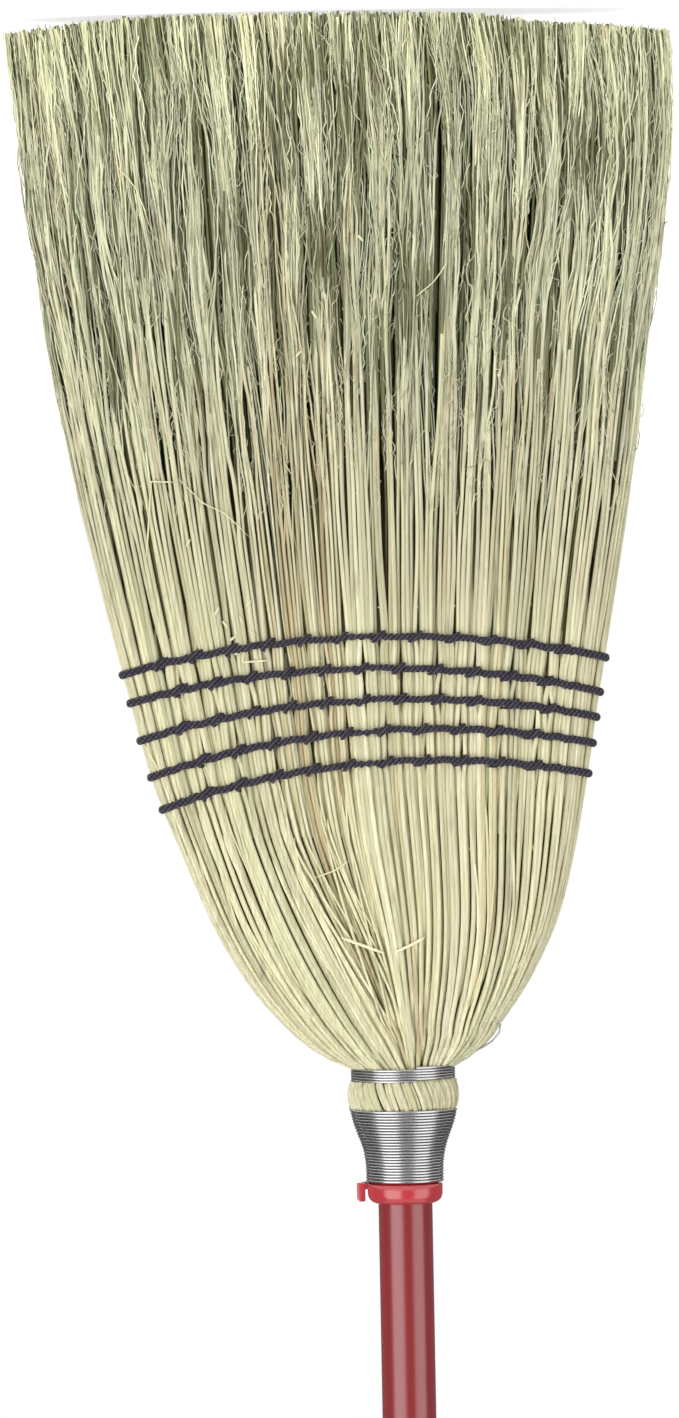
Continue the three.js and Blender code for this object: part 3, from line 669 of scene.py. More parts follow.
def straw_recipe() -> Recipe:
    """Tree that turns guide lines into straws, each of which waves by its own noise.

    Returns:
        The tree.
    """
    recipe = Recipe("straw_tubes", {"Sides": 5, "Wave Scale": 60.0, "Wave Detail": 2.0, "Seed": 1.0})
    shop, given = recipe.shop, recipe.given
    wave = {
        "Vector": shop.result("GeometryNodeInputPosition"),
        "W": shop.field("phase") + given("Seed"),
        "Scale": given("Wave Scale"),
        "Detail": given("Wave Detail"),
    }
    noise = shop.result("ShaderNodeTexNoise", {"noise_dimensions": "4D"}, wave, "Color")
    centred = shop.vector("SUBTRACT", noise, (0.5, 0.5, 0.5))
    shift = shop.vector("SCALE", centred, shop.field("loose") * 4.0)
    recipe.tubes(recipe.moved(recipe.curves(given("Geometry")), Offset=shift), shop.field("girth"))
    return recipe


def cord_recipe() -> Recipe:
    """Tree that lays twisted plies along guide lines.

    Returns:
        The tree.
    """
    sizes = {"Ply Radius": 0.001, "Lay Width": 0.001, "Lay Depth": 0.001, "Twist Length": 0.007}
    recipe = Recipe("twisted_twine", {"Plies": 3, "Sides": 6, **sizes})
    shop, given = recipe.shop, recipe.given
    curves = {"Curve": recipe.curves(given("Geometry"))}
    upright = shop.result("GeometryNodeSetCurveNormal", {"mode": "Z_UP"}, curves)
    copies = {"Geometry": upright, "Amount": given("Plies")}
    plies = shop.node("GeometryNodeDuplicateElements", {"domain": "SPLINE"}, copies)
    along = shop.result("GeometryNodeSplineParameter", output="Length")
    ply = Channel(shop, plies.outputs["Duplicate Index"]) / given("Plies")
    angle = (along / given("Twist Length") + ply) * FULL_TURN
    normal = shop.result("GeometryNodeInputNormal")
    side = shop.vector("CROSS_PRODUCT", shop.result("GeometryNodeInputTangent"), normal)
    out = shop.vector("SCALE", normal, angle.cosine() * given("Lay Depth"))
    over = shop.vector("SCALE", side, angle.sine() * given("Lay Width"))
    twisted = recipe.moved(Channel(shop, plies.outputs[0]), Offset=shop.vector("ADD", out, over))
    recipe.tubes(twisted, given("Ply Radius"))
    return recipe


class Lines:
    """Guide lines of straws or twine: points in millimetres and what each point carries."""

    # Brightness by height along the straw: lightest at the cut tips, darkest just below the sewing.
    brightness_heights = (0, 25, 60, 110, 200, 255, 285, 520)
    brightness_levels = (1.5, 1.27, 1.14, 1.02, 0.9, 0.87, 0.97, 0.97)

    def __init__(self) -> None:
        """Starts with no lines."""
        self.points: list[Array] = []
        self.carried = {label: [] for label in ("girth", "loose", "along", "tint", "shade", "phase")}

    def add(
        self, points: Array, girth: Number = 0.0, loose: Number = 0.0, along: Number = 0.0,
        tint: float = 0.0, shade: float = 1.0, phase: float = 0.0,
    ) -> None:
        """Adds one line.

        Args:
            points: Its points, in millimetres.
            girth: Radius at each point, in millimetres.
            loose: How far each point may wave, in millimetres.
            along: Share of the way from the neck to the tips at each point.
            tint: Place in the finish's tints.
            shade: Brightness of the straw: its own tone, with painted shade for straws that lie deep.
            phase: Place of the straw's own noise.
        """
        self.points.append(points)
        values = (girth * MM, loose * MM, along, tint, shade, phase)
        for rows, value in zip(self.carried.values(), values):
            rows.append(np.broadcast_to(value, len(points)))

    def mesh(self, closed: bool = False, settle: Optional[Callable] = None) -> Mesh:
        """Mesh of the lines, with their attributes; the shade is also scaled by height.

        Args:
            closed: Whether each line returns to its start.
            settle: Moves all the points at once before they are written; it takes the points and
                the number of points of each line.

        Returns:
            A mesh of edges.
        """
        counts = np.array([len(points) for points in self.points])
        ends = np.cumsum(counts) - 1
        points = np.concatenate(self.points)
        steps = np.arange(len(points))
        after = steps + 1
        after[ends] = ends - counts + 1
        edges = np.stack([steps, after], axis=1)
        if not closed:
            edges = np.delete(edges, ends, axis=0)
        places = (settle(points, counts) if settle else points) * MM
        mesh = bpy.data.meshes.new("guide")
        mesh.vertices.add(len(places))
        mesh.vertices.foreach_set("co", places.astype(np.float32).ravel())
        mesh.edges.add(len(edges))
        mesh.edges.foreach_set("vertices", edges.astype(np.int32).ravel())
        spread = {label: np.concatenate(rows) for label, rows in self.carried.items()}
        spread["shade"] = spread["shade"] * np.interp(points[:, 2], self.brightness_heights, self.brightness_levels)
        for label, values in spread.items():
            attribute = mesh.attributes.new(label, "FLOAT", "POINT")
            attribute.data.foreach_set("value", values.astype(np.float32))
        mesh.update()
        return mesh


def squared(part: Array, power: Number) -> Array:
    """Cosine or sine of a circle, pushed out towards a square by a power over 2."""
    return np.sign(part) * np.abs(part) ** (2 / power)


@dataclass
class Fan:
    """Shape of the flat straw head, in millimetres, from the sweeping edge up to the neck."""

    straw_length: float = 464.2
    sweep_width: float = 293.7
    sweep_thickness: float = 52.0
    sweep_lean: float = 21.2
    sewn_thickness: float = 39.0
    shoulder_thickness: float = 50.0
    sewn_body_end: float = 262.0
    neck_radius: float = 21.19
    levels: int = 466
    samples: int = 1440

    spread_shares = (
        (0, 1), (0.12, 0.98), (0.275, 0.91), (0.425, 0.8246), (0.565, 0.7196), (0.65, 0.6527),
        (0.728, 0.5915), (0.803, 0.511), (0.862, 0.435), (0.918, 0.3266), (0.9565, 0.219),
        (0.9735, 0.163), (0.986, 0.105), (0.9945, 0.05), (1, 0),
    )
    lean_shares = (
        (0, 1), (0.12, 0.84), (0.275, 0.84), (0.425, 0.79), (0.565, 0.71), (0.65, 0.646), (0.728, 0.56),
        (0.803, 0.4), (0.862, 0.31), (0.918, 0.25), (0.9565, 0.19), (0.9735, 0.12), (0.986, 0.09),
        (0.9945, 0.05), (1, 0),
    )
    squareness_shares = ((0, 0.6), (0.6, 0.5), (0.85, 0.3), (0.96, 0.08), (1, 0))

    def __post_init__(self) -> None:
        """Works out the section and where even shares of its outline lie at every level."""
        heights = np.linspace(0, self.straw_length, self.levels)
        self.table = np.stack(self._measured(heights / self.straw_length))
        turns = np.linspace(0, FULL_TURN, self.samples + 1)
        shares = np.linspace(0, 1, self.samples // 2 + 1)
        self.angles = np.empty((self.levels, len(shares)))
        self.girths = np.empty(self.levels)
        for level, height in enumerate(heights):
            x, y = self.outline(np.full_like(turns, height), turns, 0)
            run = np.concatenate([[0], np.cumsum(np.hypot(np.diff(x), np.diff(y)))])
            self.girths[level] = run[-1]
            self.angles[level] = np.interp(shares, run / run[-1], turns)

    def _measured(self, share: Array) -> tuple[Array, ...]:
        """Cross-section at shares of the straw's length, as section gives it.

        Args:
            share: Shares of the way up.

        Returns:
            Lean, half width, half thickness and squareness.
        """
        sewn = self.sewn_thickness / 2
        thick = (
            (0, self.sweep_thickness / 2), (self.sewn_body_end / self.straw_length, sewn),
            (0.66, sewn), (0.87, self.shoulder_thickness / 2), (1, self.neck_radius),
        )
        lean = self.sweep_lean * smooth_value(share, self.lean_shares)
        grown = (self.sweep_width / 2 - self.neck_radius) * smooth_value(share, self.spread_shares)
        power = 2 + smooth_value(share, self.squareness_shares)
        return lean, self.neck_radius + grown, smooth_value(share, thick), power

    def level(self, height: Number) -> tuple[Array, Array]:
        """Level under each height, and how far the height lies towards the next one.

        Args:
            height: Heights above the sweeping edge.

        Returns:
            Level and share of a step.
        """
        place = np.clip(np.asarray(height, float), 0, self.straw_length) / self.straw_length
        place = place * (self.levels - 1)
        low = np.minimum(place.astype(int), self.levels - 2)
        return low, place - low

    def section(self, height: Number) -> Array:
        """Lean of the middle, half width, half thickness and squareness of the outline at heights."""
        low, part = self.level(height)
        return self.table[:, low] * (1 - part) + self.table[:, low + 1] * part

    def outline(self, height: Number, angle: Number, inset: Number) -> tuple[Array, Array]:
        """Outline of the fan, seen from above.

        Args:
            height: Heights above the sweeping edge.
            angle: Angles from +X.
            inset: How far inside the outline.

        Returns:
            X and Y of the points.
        """
        lean, half_width, half_thickness, power = self.section(height)
        across, through = squared(np.cos(angle), power), squared(np.sin(angle), power)
        return lean + (half_width - inset) * across, (half_thickness - inset) * through

    def girth(self, height: Number) -> Array:
        """Length round the outline at heights."""
        low, part = self.level(height)
        return self.girths[low] * (1 - part) + self.girths[low + 1] * part

    def place(self, height: Number, share: Number, inset: Number) -> Array:
        """Points at shares of the way round the fan.

        Args:
            height: Heights above the sweeping edge.
            share: Shares of the outline's length, from +X round by the back.
            inset: How far inside the outline.

        Returns:
            An array of points.
        """
        height, share, inset = np.broadcast_arrays(height, share, inset)
        low, part = self.level(height)
        columns = self.angles.shape[1] - 1
        wrapped = np.mod(share, 1.0) * columns
        left = np.clip(wrapped.astype(int), 0, columns - 1)
        side = wrapped - left
        below, above = (
            self.angles[row, left] * (1 - side) + self.angles[row, left + 1] * side for row in (low, low + 1)
        )
        x, y = self.outline(height, below * (1 - part) + above * part, inset)
        return np.stack([x, y, height], axis=-1)


@dataclass
class Sewing:
    """Five rows of twine sewn through the fan, in millimetres."""

    fan: Fan
    rows: int = 5
    first_height: float = 274.7
    pitch: float = 13.83
    sag: float = 12.7
    skews: tuple[float, ...] = (1.9, 0.6, 3.4, 5.8, 6.3)
    stitch_pitch: float = 16.3
    stitch_points: int = 15
    stitch_reach: float = 2.9
    stitch_shift: float = 0.8
    stitch_rise: float = 2.0
    stitch_lift: float = 0.4
    stitch_crown: float = 2.2
    stitch_dive: float = 5.2
    end_inset: float = 19.0
    ring_points: int = 360
    ring_lift: float = 0.55
    ring_bow: float = 0.35
    pinch_depth: float = 0.9
    pinch_reach: float = 2.6
    part_width: float = 0.95
    part_reach: float = 3.0
    part_above: float = 3.5
    part_below: tuple[float, ...] = (22.0, 12.0, 12.0, 12.0, 12.0)
    ring_plies = {"Ply_Radius": 0.76, "Lay_Width": 1.14, "Lay_Depth": 0.92, "Twist_Length": 7.4}
    stitch_plies = {"Ply_Radius": 0.6, "Lay_Width": 0.6, "Lay_Depth": 0.5, "Twist_Length": 5.0}

    def __post_init__(self) -> None:
        """Sets out the stitches of every row."""
        self.widths = [float(self.fan.section(self.height(row, 0.0))[1]) for row in range(self.rows)]
        self.stitches = []
        for half in self.widths:
            count = int(2 * (half - self.end_inset) / self.stitch_pitch) + 1
            self.stitches.append(self.stitch_pitch * (np.arange(count) - (count - 1) / 2))

    def height(self, row: int, across: Number) -> Number:
        """Height of a row at a share across the fan, from -1 to 1."""
        return self.first_height + self.pitch * row + self.sag * across**2 + self.skews[row] * across

    def over_rows(self, points: Array) -> tuple[Array, Array, list[Array]]:
        """Where points lie by the fan and the rows.

        Args:
            points: Points of straws.

        Returns:
            Their distance from the fan's middle, the fan's half width, and their height over each row.
        """
        lean, half, _, _ = self.fan.section(points[..., 2])
        sideways = points[..., 0] - lean
        across = np.clip(sideways / half, -1, 1)
        return sideways, half, [points[..., 2] - self.height(row, across) for row in range(self.rows)]

    def pinch(self, points: Array) -> Array:
        """How deep the twine draws the straw in at points, in millimetres."""
        depths = [np.exp(-((over / self.pinch_reach) ** 2)) for over in self.over_rows(points)[2]]
        return self.pinch_depth * np.max(depths, axis=0)

    def part(self, points: Array) -> Array:
        """Sideways shift of the straw away from the stitches.

        Args:
            points: Points of straws.

        Returns:
            The shift at each point, in millimetres.
        """
        sideways, half, overs = self.over_rows(points)
        shift = np.zeros(points.shape[:-1])
        for row, over in enumerate(overs):
            window = np.exp(-((over / np.where(over < 0, self.part_below[row], self.part_above)) ** 2))
            gap = sideways[..., None] - self.stitches[row] * (half / self.widths[row])[..., None]
            nearest = np.take_along_axis(gap, np.abs(gap).argmin(axis=-1)[..., None], axis=-1)[..., 0]
            ease = np.exp(-((nearest / self.part_reach) ** 2))
            shift += np.sign(nearest) * ease * window * self.part_width
        return shift

    def build(self, recipe: Recipe, material: Material) -> None:
        """Makes the rows of twine with their stitches.

        Args:
            recipe: Tree for twisted twine.
            material: The twine's material.
        """
        turns = np.linspace(0, FULL_TURN, self.ring_points + 1)[:-1]
        for row in range(self.rows):
            power = float(self.fan.section(self.height(row, 0.0))[3])
            across = squared(np.cos(turns), power)
            heights = self.height(row, across)
            bow = self.ring_bow * np.sin(turns * 37.0 + row) * (np.abs(across) < 0.9)
            ring, loops = Lines(), Lines()
            x, y = self.fan.outline(heights, turns, -self.ring_lift)
            ring.add(np.stack([x, y, heights + bow], axis=-1))
            for face in Face:
                for stitch in self.stitches[row]:
                    loops.add(self._stitch(row, stitch, face, power))
            sizes = [{label: size * MM for label, size in plies.items()}
                     for plies in (self.ring_plies, self.stitch_plies)]
            twine = recipe.run(f"twine_row_{row + 1}", ring.mesh(closed=True), material, Sides=8, **sizes[0])
            knots = recipe.run(f"stitches_{row + 1}", loops.mesh(), material, Sides=6, **sizes[1])
            dress(join(twine, knots), Slot.TWINE, f"stitch_row_{row + 1}")

    def _stitch(self, row: int, stitch: float, face: Face, power: float) -> Array:
        """Path of one stitch over its row.

        Args:
            row: Number of the row.
            stitch: Place of the stitch from the row's middle.
            face: Face of the broom.
            power: Squareness of the fan at the row.

        Returns:
            The path's points.
        """
        part = np.linspace(-1, 1, self.stitch_points)
        swing = part * math.pi * 0.5
        sideways = (stitch + part * self.stitch_reach + self.stitch_shift) / self.widths[row]
        crown = self.stitch_crown * np.cos(swing) ** 0.55
        depth = crown + self.stitch_lift - self.stitch_dive * np.abs(part) ** 5
        angle = face.value * np.arccos(np.sign(sideways) * np.abs(sideways) ** (power / 2))
        height = self.height(row, sideways) + self.stitch_rise * np.sin(swing)
        x, y = self.fan.outline(height, angle, -depth)
        return np.stack([x, y, height], axis=-1)


@dataclass(frozen=True)
class FibreKind:
    """How one kind of fine fibre grows off the stems, in millimetres."""

    label: str
    span: Pair
    count: int
    start: Pair
    length: Pair
    full_share: float
    spread: float
    lift: Pair
    girth: Pair
    waves: Pair
    step: float
    kink: float


# The long fibres grow alike on both halves of the front.
LONG_FRONT = (520, (40, 240), (50, 140), 0.75, 0.055, (-0.016, 0.03), (0.38, 0.72), (0.5, 1.2), 5.5, 60.0)
FIBRES = (
    FibreKind("front_left", (0.75, 1.0), *LONG_FRONT),
    FibreKind("front_right", (0.5, 0.75), *LONG_FRONT),
    FibreKind("front_tips", (0.5, 1.0), 980, (14, 165), (30, 90), 0.6, 0.09, (-0.025, 0.04),
              (0.24, 0.5), (1.0, 2.2), 2.8, 120.0),
    FibreKind("front_curls", (0.5, 1.0), 1050, (16, 225), (10, 36), 0.0, 0.28, (-0.07, 0.02),
              (0.2, 0.34), (1.8, 3.6), 1.6, 260.0),
    FibreKind("back", (0.0, 0.5), 1000, (50, 240), (50, 140), 0.6, 0.05, (-0.012, 0.03),
              (0.3, 0.55), (0.6, 1.3), 7.0, 110.0),
    FibreKind("back_tips", (0.0, 0.5), 1100, (14, 170), (20, 90), 0.5, 0.08, (-0.025, 0.035),
              (0.22, 0.42), (1.2, 2.6), 4.0, 150.0),
)


@dataclass
class StrawHead:
    """All the straw: stalks over the shoulders, stems and fine fibres past the sewing, packed inside.

    Heights and sizes are in millimetres. A share is a part of the way round the fan, from +X by the
    back; a lay pairs the share across the neck with the one at the sewing, from -1 to 1.
    """

    fan: Fan
    sewing: Sewing
    seed: int = 11
    stalks: int = 236
    stalk_pitch: float = 2.5
    first_inset: float = 0.95
    layer_depth: float = 1.7
    grid_step: float = 5.0
    grid_top: float = 468.0
    stem_step: float = 8.0
    stem_top: float = 292.0
    sewn_edge: float = 266.0
    lay_length: float = 104.0
    tuft_pull: float = 0.55
    loose_end: float = 50.0
    wedge_depth: float = 1.3
    wedge_heights: Pair = (335.0, 380.0)
    colour_heights: Pair = (300.0, 60.0)
    stalk_girth: Pair = (0.9, 1.24)
    wedge_girth: Pair = (0.62, 0.95)
    stalk_tip_girth: Pair = (0.55, 0.85)
    stem_girth: Pair = (0.6, 0.85)
    stem_tip_girth: Pair = (0.4, 0.6)
    between_top: float = 362.0
    between_end: Pair = (165.0, 252.0)
    between_girth: Pair = (0.7, 1.0)
    between_points: int = 27
    crossing_points: int = 16
    crossing_foot: Pair = (338.0, 375.0)
    crossing_head: Pair = (400.0, 452.0)
    crossing_girth: Pair = (0.42, 0.7)
    bulge_low: float = 469.4
    bulge_rise: float = 13.6
    bulge_radius: float = 20.2
    bulge_bow: float = 3.2
    bulge_straws: int = 74
    bulge_points: int = 14
    bulge_stagger: float = 0.7
    bulge_lean: float = -0.2
    bulge_girth: Pair = (0.9, 1.3)
    filling_pitch: float = 2.4
    filling_inset: float = 1.5
    filling_top: Pair = (120.0, 200.0)
    least_fibre: float = 6.0
    # Mean heights of what the cut left standing over its line.
    stalk_remnant: float = 1.4
    stem_remnant: float = 1.8
    filling_remnant: float = 2.2
    core_sides: int = 300
    core_inset: float = 4.2
    core_ridge: float = 0.35
    core_taper: float = 7.5
    # Lowest and highest ring of each core, and how many rings it has.
    upper_core: tuple[float, float, int] = (262.0, 464.0, 36)
    lower_core: tuple[float, float, int] = (70.0, 261.0, 14)

    front_lay = (
        (-1.0, -1.0), (-0.67, -0.75), (-0.24, -0.52), (0.04, -0.40), (0.12, -0.08), (0.163, 0.03),
        (0.26, 0.22), (0.43, 0.34), (0.7, 0.6), (1.0, 1.0),
    )
    back_lay = (
        (-1.0, -1.0), (-0.7, -0.8), (-0.3, -0.36), (-0.05, 0.0), (0.08, 0.2), (0.3, 0.42), (0.7, 0.72),
        (1.0, 1.0),
    )
    wedge_span = (-0.40, -0.08)
    # Partings past the sewing: X, middle height, reach up and down, width, sign of Y of the face.
    partings = (
        (78.8, 84, 42, 2.3, -1), (-21.9, 108, 84, 2.3, -1), (-63.5, 91, 16, 1.3, -1),
        (-80.5, 107, 14, 1.2, -1), (-99.7, 90, 12, 1.1, -1), (4.8, 205, 54, 1.4, -1),
        (63.0, 183, 20, 1.2, -1), (70.0, 212, 14, 1.0, -1), (-8.0, 52, 32, 1.2, -1),
        (108.0, 60, 30, 1.0, -1), (132.0, 120, 40, 0.9, -1), (38.0, 60, 36, 1.1, -1),
        (-45.0, 150, 30, 0.9, -1), (95.0, 150, 40, 0.8, -1), (-70.0, 190, 30, 0.9, -1),
        (22.0, 120, 30, 0.9, -1), (-10.0, 90, 50, 1.5, 1), (45.0, 130, 60, 1.4, 1),
        (-70.0, 100, 50, 1.3, 1), (100.0, 80, 40, 1.3, 1), (70.0, 200, 40, 1.0, 1),
        (-35.0, 190, 40, 1.0, 1),
    )
    # Weathered patches: X, height, reach across, reach up and down.
    tan_patches = ((46.0, 142.0, 19.0, 36.0), (-62.0, 172.0, 20.0, 26.0), (22.0, 118.0, 9.0, 20.0))
    # The cut tips: X and height, level in the middle and rising to the corners.
    cut_line = (
        (-125, 8.9), (-104, 7.6), (-71, 5.6), (-50, 3.2), (-38, 1.4), (-18, 1.2), (0, 0.3), (60, 0.3),
        (114, 0.4), (127, 1.8), (140, 2.8), (154, 4.2), (168, 5.4),
    )
    neck_core = ((468, 20.2), (486, 20.2), (500, 15.5), (512, 14.6))
    # Odd bits on the front: corners as X and height, radius, waviness, tint.
    bits = (
        (((26.2, 406.0), (16.8, 409.6), (7.4, 413.2)), 0.75, 0.05, 0.1),
        (((2.6, 412.8), (-4.0, 410.0), (-10.4, 406.6)), 0.75, 0.05, 0.1),
        (((95.7, 205.1), (105.8, 204.6), (107.0, 221.0), (108.6, 237.7)), 0.42, 0.15, 0.1),
        (((93.4, 204.2), (84.0, 214.0), (74.0, 219.0), (63.1, 229.8)), 0.32, 1.6, 0.2),
        (((66.1, 279.2), (67.1, 284.6), (56.1, 284.2)), 0.5, 0.1, 0.1),
        (((37.2, 379.6), (29.5, 377.0), (22.4, 372.6)), 0.32, 0.9, 0.2),
        (((112.0, 318.0), (104.0, 334.0), (98.0, 352.0)), 0.4, 0.2, 0.1),
        (((-12.0, 126.0), (-20.0, 120.0), (-27.0, 108.0)), 0.3, 1.2, 0.3),
        (((120.0, 64.0), (110.0, 76.0), (104.0, 92.0)), 0.3, 1.4, 0.3),
    )
    # Short chips on the front: X, height and turn.
    chips = (
        (78.0, 262.0, 0.5), (74.5, 268.0, -0.6), (71.0, 274.0, 0.9), (67.5, 266.0, -0.3),
        (64.0, 259.0, 0.7), (69.0, 280.5, 1.1), (62.5, 272.0, -0.9), (90.0, 232.0, 0.4),
        (40.0, 150.0, 0.8), (33.0, 133.0, -0.5), (-48.0, 160.0, 0.3), (12.0, 100.0, -0.7),
    )

    def __post_init__(self) -> None:
        """Lays the main stems on a common grid of heights, from the top down."""
        self.random = np.random.default_rng(self.seed)
        self.heights = np.arange(0.0, self.grid_top + self.grid_step, self.grid_step)[::-1]
        self.shares = (np.arange(self.stalks) + 0.5) / self.stalks
        front = 1 - 4 * (self.shares - 0.5)
        low, high = self.wedge_span
        self.in_wedge = (self.shares > 0.5) & (front > low) & (front < high)
        self.stem_shares, self.stem_insets = self.main_stems()

    def lay(self, shares: Array, heights: Array) -> Array:
        """Share round the fan of each stalk at each height, from its place at the neck to the sewing.

        Args:
            shares: Shares at the sewing, one for each stalk.
            heights: Heights, one row for each stalk or one for all.

        Returns:
            An array of stalks by heights.
        """
        at_neck, at_sewing = np.array(self.front_lay).T
        front = 0.5 + (1 - np.interp(1 - 4 * (shares - 0.5), at_sewing, at_neck)) / 4
        at_neck, at_sewing = np.array(self.back_lay).T
        back = (np.interp(4 * shares - 1, at_sewing, at_neck) + 1) / 4
        neck = np.where(shares >= 0.5, front, back)[:, None]
        down = np.clip((self.fan.straw_length - heights) / self.lay_length, 0, 1)
        return neck + (shares[:, None] - neck) * (1 - (1 - down) ** 1.5)

    def wander(self, count: int, heights: Array, lengths: Sequence[float]) -> Array:
        """Slow sideways drift for each straw, about -1 to 1.

        Args:
            count: Number of straws.
            heights: Heights, one row for each straw or one for all.
            lengths: Wave lengths.

        Returns:
            An array of straws by heights.
        """
        total = np.zeros((count, heights.shape[-1]))
        for length in lengths:
            phase = self.random.uniform(0, FULL_TURN, (count, 1))
            stretch = self.random.uniform(0.8, 1.25, (count, 1))
            total += np.sin(heights * FULL_TURN / length * stretch + phase)
        return total / len(lengths)

    def main_stems(self) -> tuple[Array, Array]:
        """Lays the main stalks: crowded ones sink in layers, and past the sewing they part in tufts.

        Returns:
            Their shares and insets, as two arrays of stalks by heights.
        """
        index, heights = np.arange(self.stalks), self.heights[None, :]
        shares, girth = self.lay(self.shares, heights), self.fan.girth(heights)
        spacing = np.abs(np.roll(shares, -1, axis=0) - shares)
        spacing = np.minimum(spacing, 1 - spacing) * girth
        rank = np.mod(index * GOLDEN_SHARE, 1.0)[:, None]
        crowd = rank / np.clip(spacing / self.stalk_pitch, 0.12, 1.0)
        layers = sum(eased(crowd, layer - 0.1, layer + 0.12) for layer in (1, 2, 3))
        sunk = self.in_wedge[:, None] * self.wedge_depth * eased(heights, *self.wedge_heights)
        insets = self.first_inset + self.layer_depth * layers + sunk
        slack = eased(heights, self.sewn_edge, self.loose_end)
        drift = self.wander(self.stalks, heights, (80.0, 150.0, 300.0))
        reach = self.random.uniform(0.7, 3.4, (self.stalks, 1))
        shares = shares + drift * (0.2 + reach * slack) / girth
        tuft_ends = np.cumsum(self.random.integers(3, 8, self.stalks // 4))
        tuft = np.searchsorted(tuft_ends, index, side="right")
        middle = np.array([index[tuft == each].mean() for each in tuft])
        shares = shares + (middle - index)[:, None] / self.stalks * self.tuft_pull * slack
        sway = self.wander(int(tuft.max()) + 1, heights, (110.0, 190.0))[tuft]
        own = self.wander(self.stalks, heights, (90.0, 160.0))
        return shares, np.maximum(insets + slack * (1.2 + 1.7 * sway + 2.1 * own), 0.3)

    def settle(self, points: Array, counts: Array) -> Array:
        """Pinches and parts the straw at the sewing and at the partings past it.

        Args:
            points: Points of straws.
            counts: Number of points of each straw, which stays on one side of a parting.

        Returns:
            The moved points.
        """
        moved = points.copy()
        moved[..., 0] += self.sewing.part(points)
        lean, half, thick, _ = self.fan.section(points[..., 2])
        moved[..., 1] *= 1 - self.sewing.pinch(points) / thick
        starts = np.cumsum(counts) - counts
        for x, middle, reach, width, side in self.partings:
            centre, broad, _, _ = self.fan.section(middle)
            gap = points[..., 0] - (lean + (x - centre) * half / broad)
            window = np.exp(-(((points[..., 2] - middle) / reach) ** 4)) * (points[..., 1] * side > 0)
            total = np.add.reduceat(gap * window, starts)
            turn = np.repeat(np.where(total < 0, -1.0, 1.0), counts)
            clear = gap * turn
            push = np.exp(-((np.maximum(clear, 0) / (2.6 * width)) ** 2)) * width
            moved[..., 0] += turn * (push + np.clip(-clear, 0, 4 * width)) * window
        return moved

    def tip(self, share: Array, mean: float) -> float:
        """Height of a straw's cut end at its last share, with a random remnant of this mean."""
        foot = self.fan.place(np.zeros(1), share[-1:], np.zeros(1))
        return self.cut_height(foot[0, 0]) + self.random.exponential(mean)

    def cut(self, heights: Array, share: Array, inset: Array, mean: float) -> tuple[Array, Array]:
        """Cuts a straw at its tip.

        Args:
            heights: Its heights, from the top down.
            share: Its share at each height.
            inset: Its inset at each height.
            mean: Mean height of the remnant over the line of the cut.

        Returns:
            Its heights and its points.
        """
        tip = self.tip(share, mean)
        keep = heights >= tip
        heights = np.append(heights[keep], tip)
        ends = (np.append(row[keep], row[-1]) for row in (share, inset))
        return heights, self.fan.place(heights, *ends)

    def tan_share(self, x: float, height: float) -> float:
        """Share of weathered tan fibres round a place on the front."""
        at_x, at_height, wide, tall = np.array(self.tan_patches).T
        return 0.08 + 0.75 * np.exp(-(((x - at_x) / wide) ** 2) - ((height - at_height) / tall) ** 2).sum()

    @staticmethod
    def girth_at(heights: Array, root: float, tip: float) -> Array:
        """Radius of a stem that thins from the sewing to its tip."""
        return root * (1 - 0.17 * eased(heights, 268, 222)) + (tip - root) * eased(heights, 260, 0)

    def along(self, heights: Array) -> Array:
        """Share of the way to the tips, where the straw's colour changes."""
        return eased(heights, *self.colour_heights)

    def cut_height(self, x: float) -> float:
        """Height of the cut across the broom."""
        return float(np.interp(x, *np.array(self.cut_line).T))

    def on_face(self, face: Face) -> Array:
        """Numbers of the stalks on one face."""
        return np.nonzero((self.shares >= 0.5) == (face is Face.FRONT))[0]

    def add_stalks(self, lines: Lines, face: Face) -> None:
        """Adds one face's main stalks, from the neck to the tips.

        Args:
            lines: The set to add to.
            face: Face of the broom.
        """
        draw = self.random.uniform
        for index in self.on_face(face):
            wedge = self.in_wedge[index]
            share, inset = self.stem_shares[index], self.stem_insets[index]
            heights, points = self.cut(self.heights, share, inset, self.stalk_remnant)
            size = draw(*(self.wedge_girth if wedge else self.stalk_girth))
            girth = self.girth_at(heights, size, draw(*self.stalk_tip_girth))
            loose = 0.08 + 0.3 * eased(heights, self.sewn_edge, 90)
            brown = wedge and self.random.random() < 0.4
            tint = draw(0.7, 0.95) if brown else self.random.beta(1.3, 3.0)
            lines.add(points, girth, loose, self.along(heights), tint, draw(0.8, 1.06), draw(0, 50))

    def add_between(self, lines: Lines, face: Face) -> None:
        """Adds the straws that close the gaps between the stalks where the twine presses them flat.

        Args:
            lines: The set to add to.
            face: Face of the broom.
        """
        draw = self.random.uniform
        # Each layer's brightness carries painted shade for its depth: the deeper layer is darker, so the gaps
        # between the stalks read dark.
        for shift, deep, light in ((0.5, 1.9, 0.97), (0.0, 2.7, 0.8)):
            for index in self.on_face(face):
                last = draw(*self.between_end)
                heights = np.linspace(self.between_top, last, self.between_points)
                tail = eased(heights, last + 80, last)
                ends = eased(heights, 336, self.between_top) + 2.4 * tail
                start = np.array([self.shares[index] + (shift + draw(-0.2, 0.2)) / self.stalks])
                share = self.lay(start, heights[None, :])[0]
                inset = deep + draw(-0.2, 0.5) + 2.2 * ends
                girth = draw(*self.between_girth) * (1 - 0.75 * tail)
                tint, shade = self.random.beta(1.6, 1.9), light * draw(0.68, 1.02)
                lines.add(self.fan.place(heights, share, inset), girth, 0.0, 0.0, tint, shade, draw(0, 50))

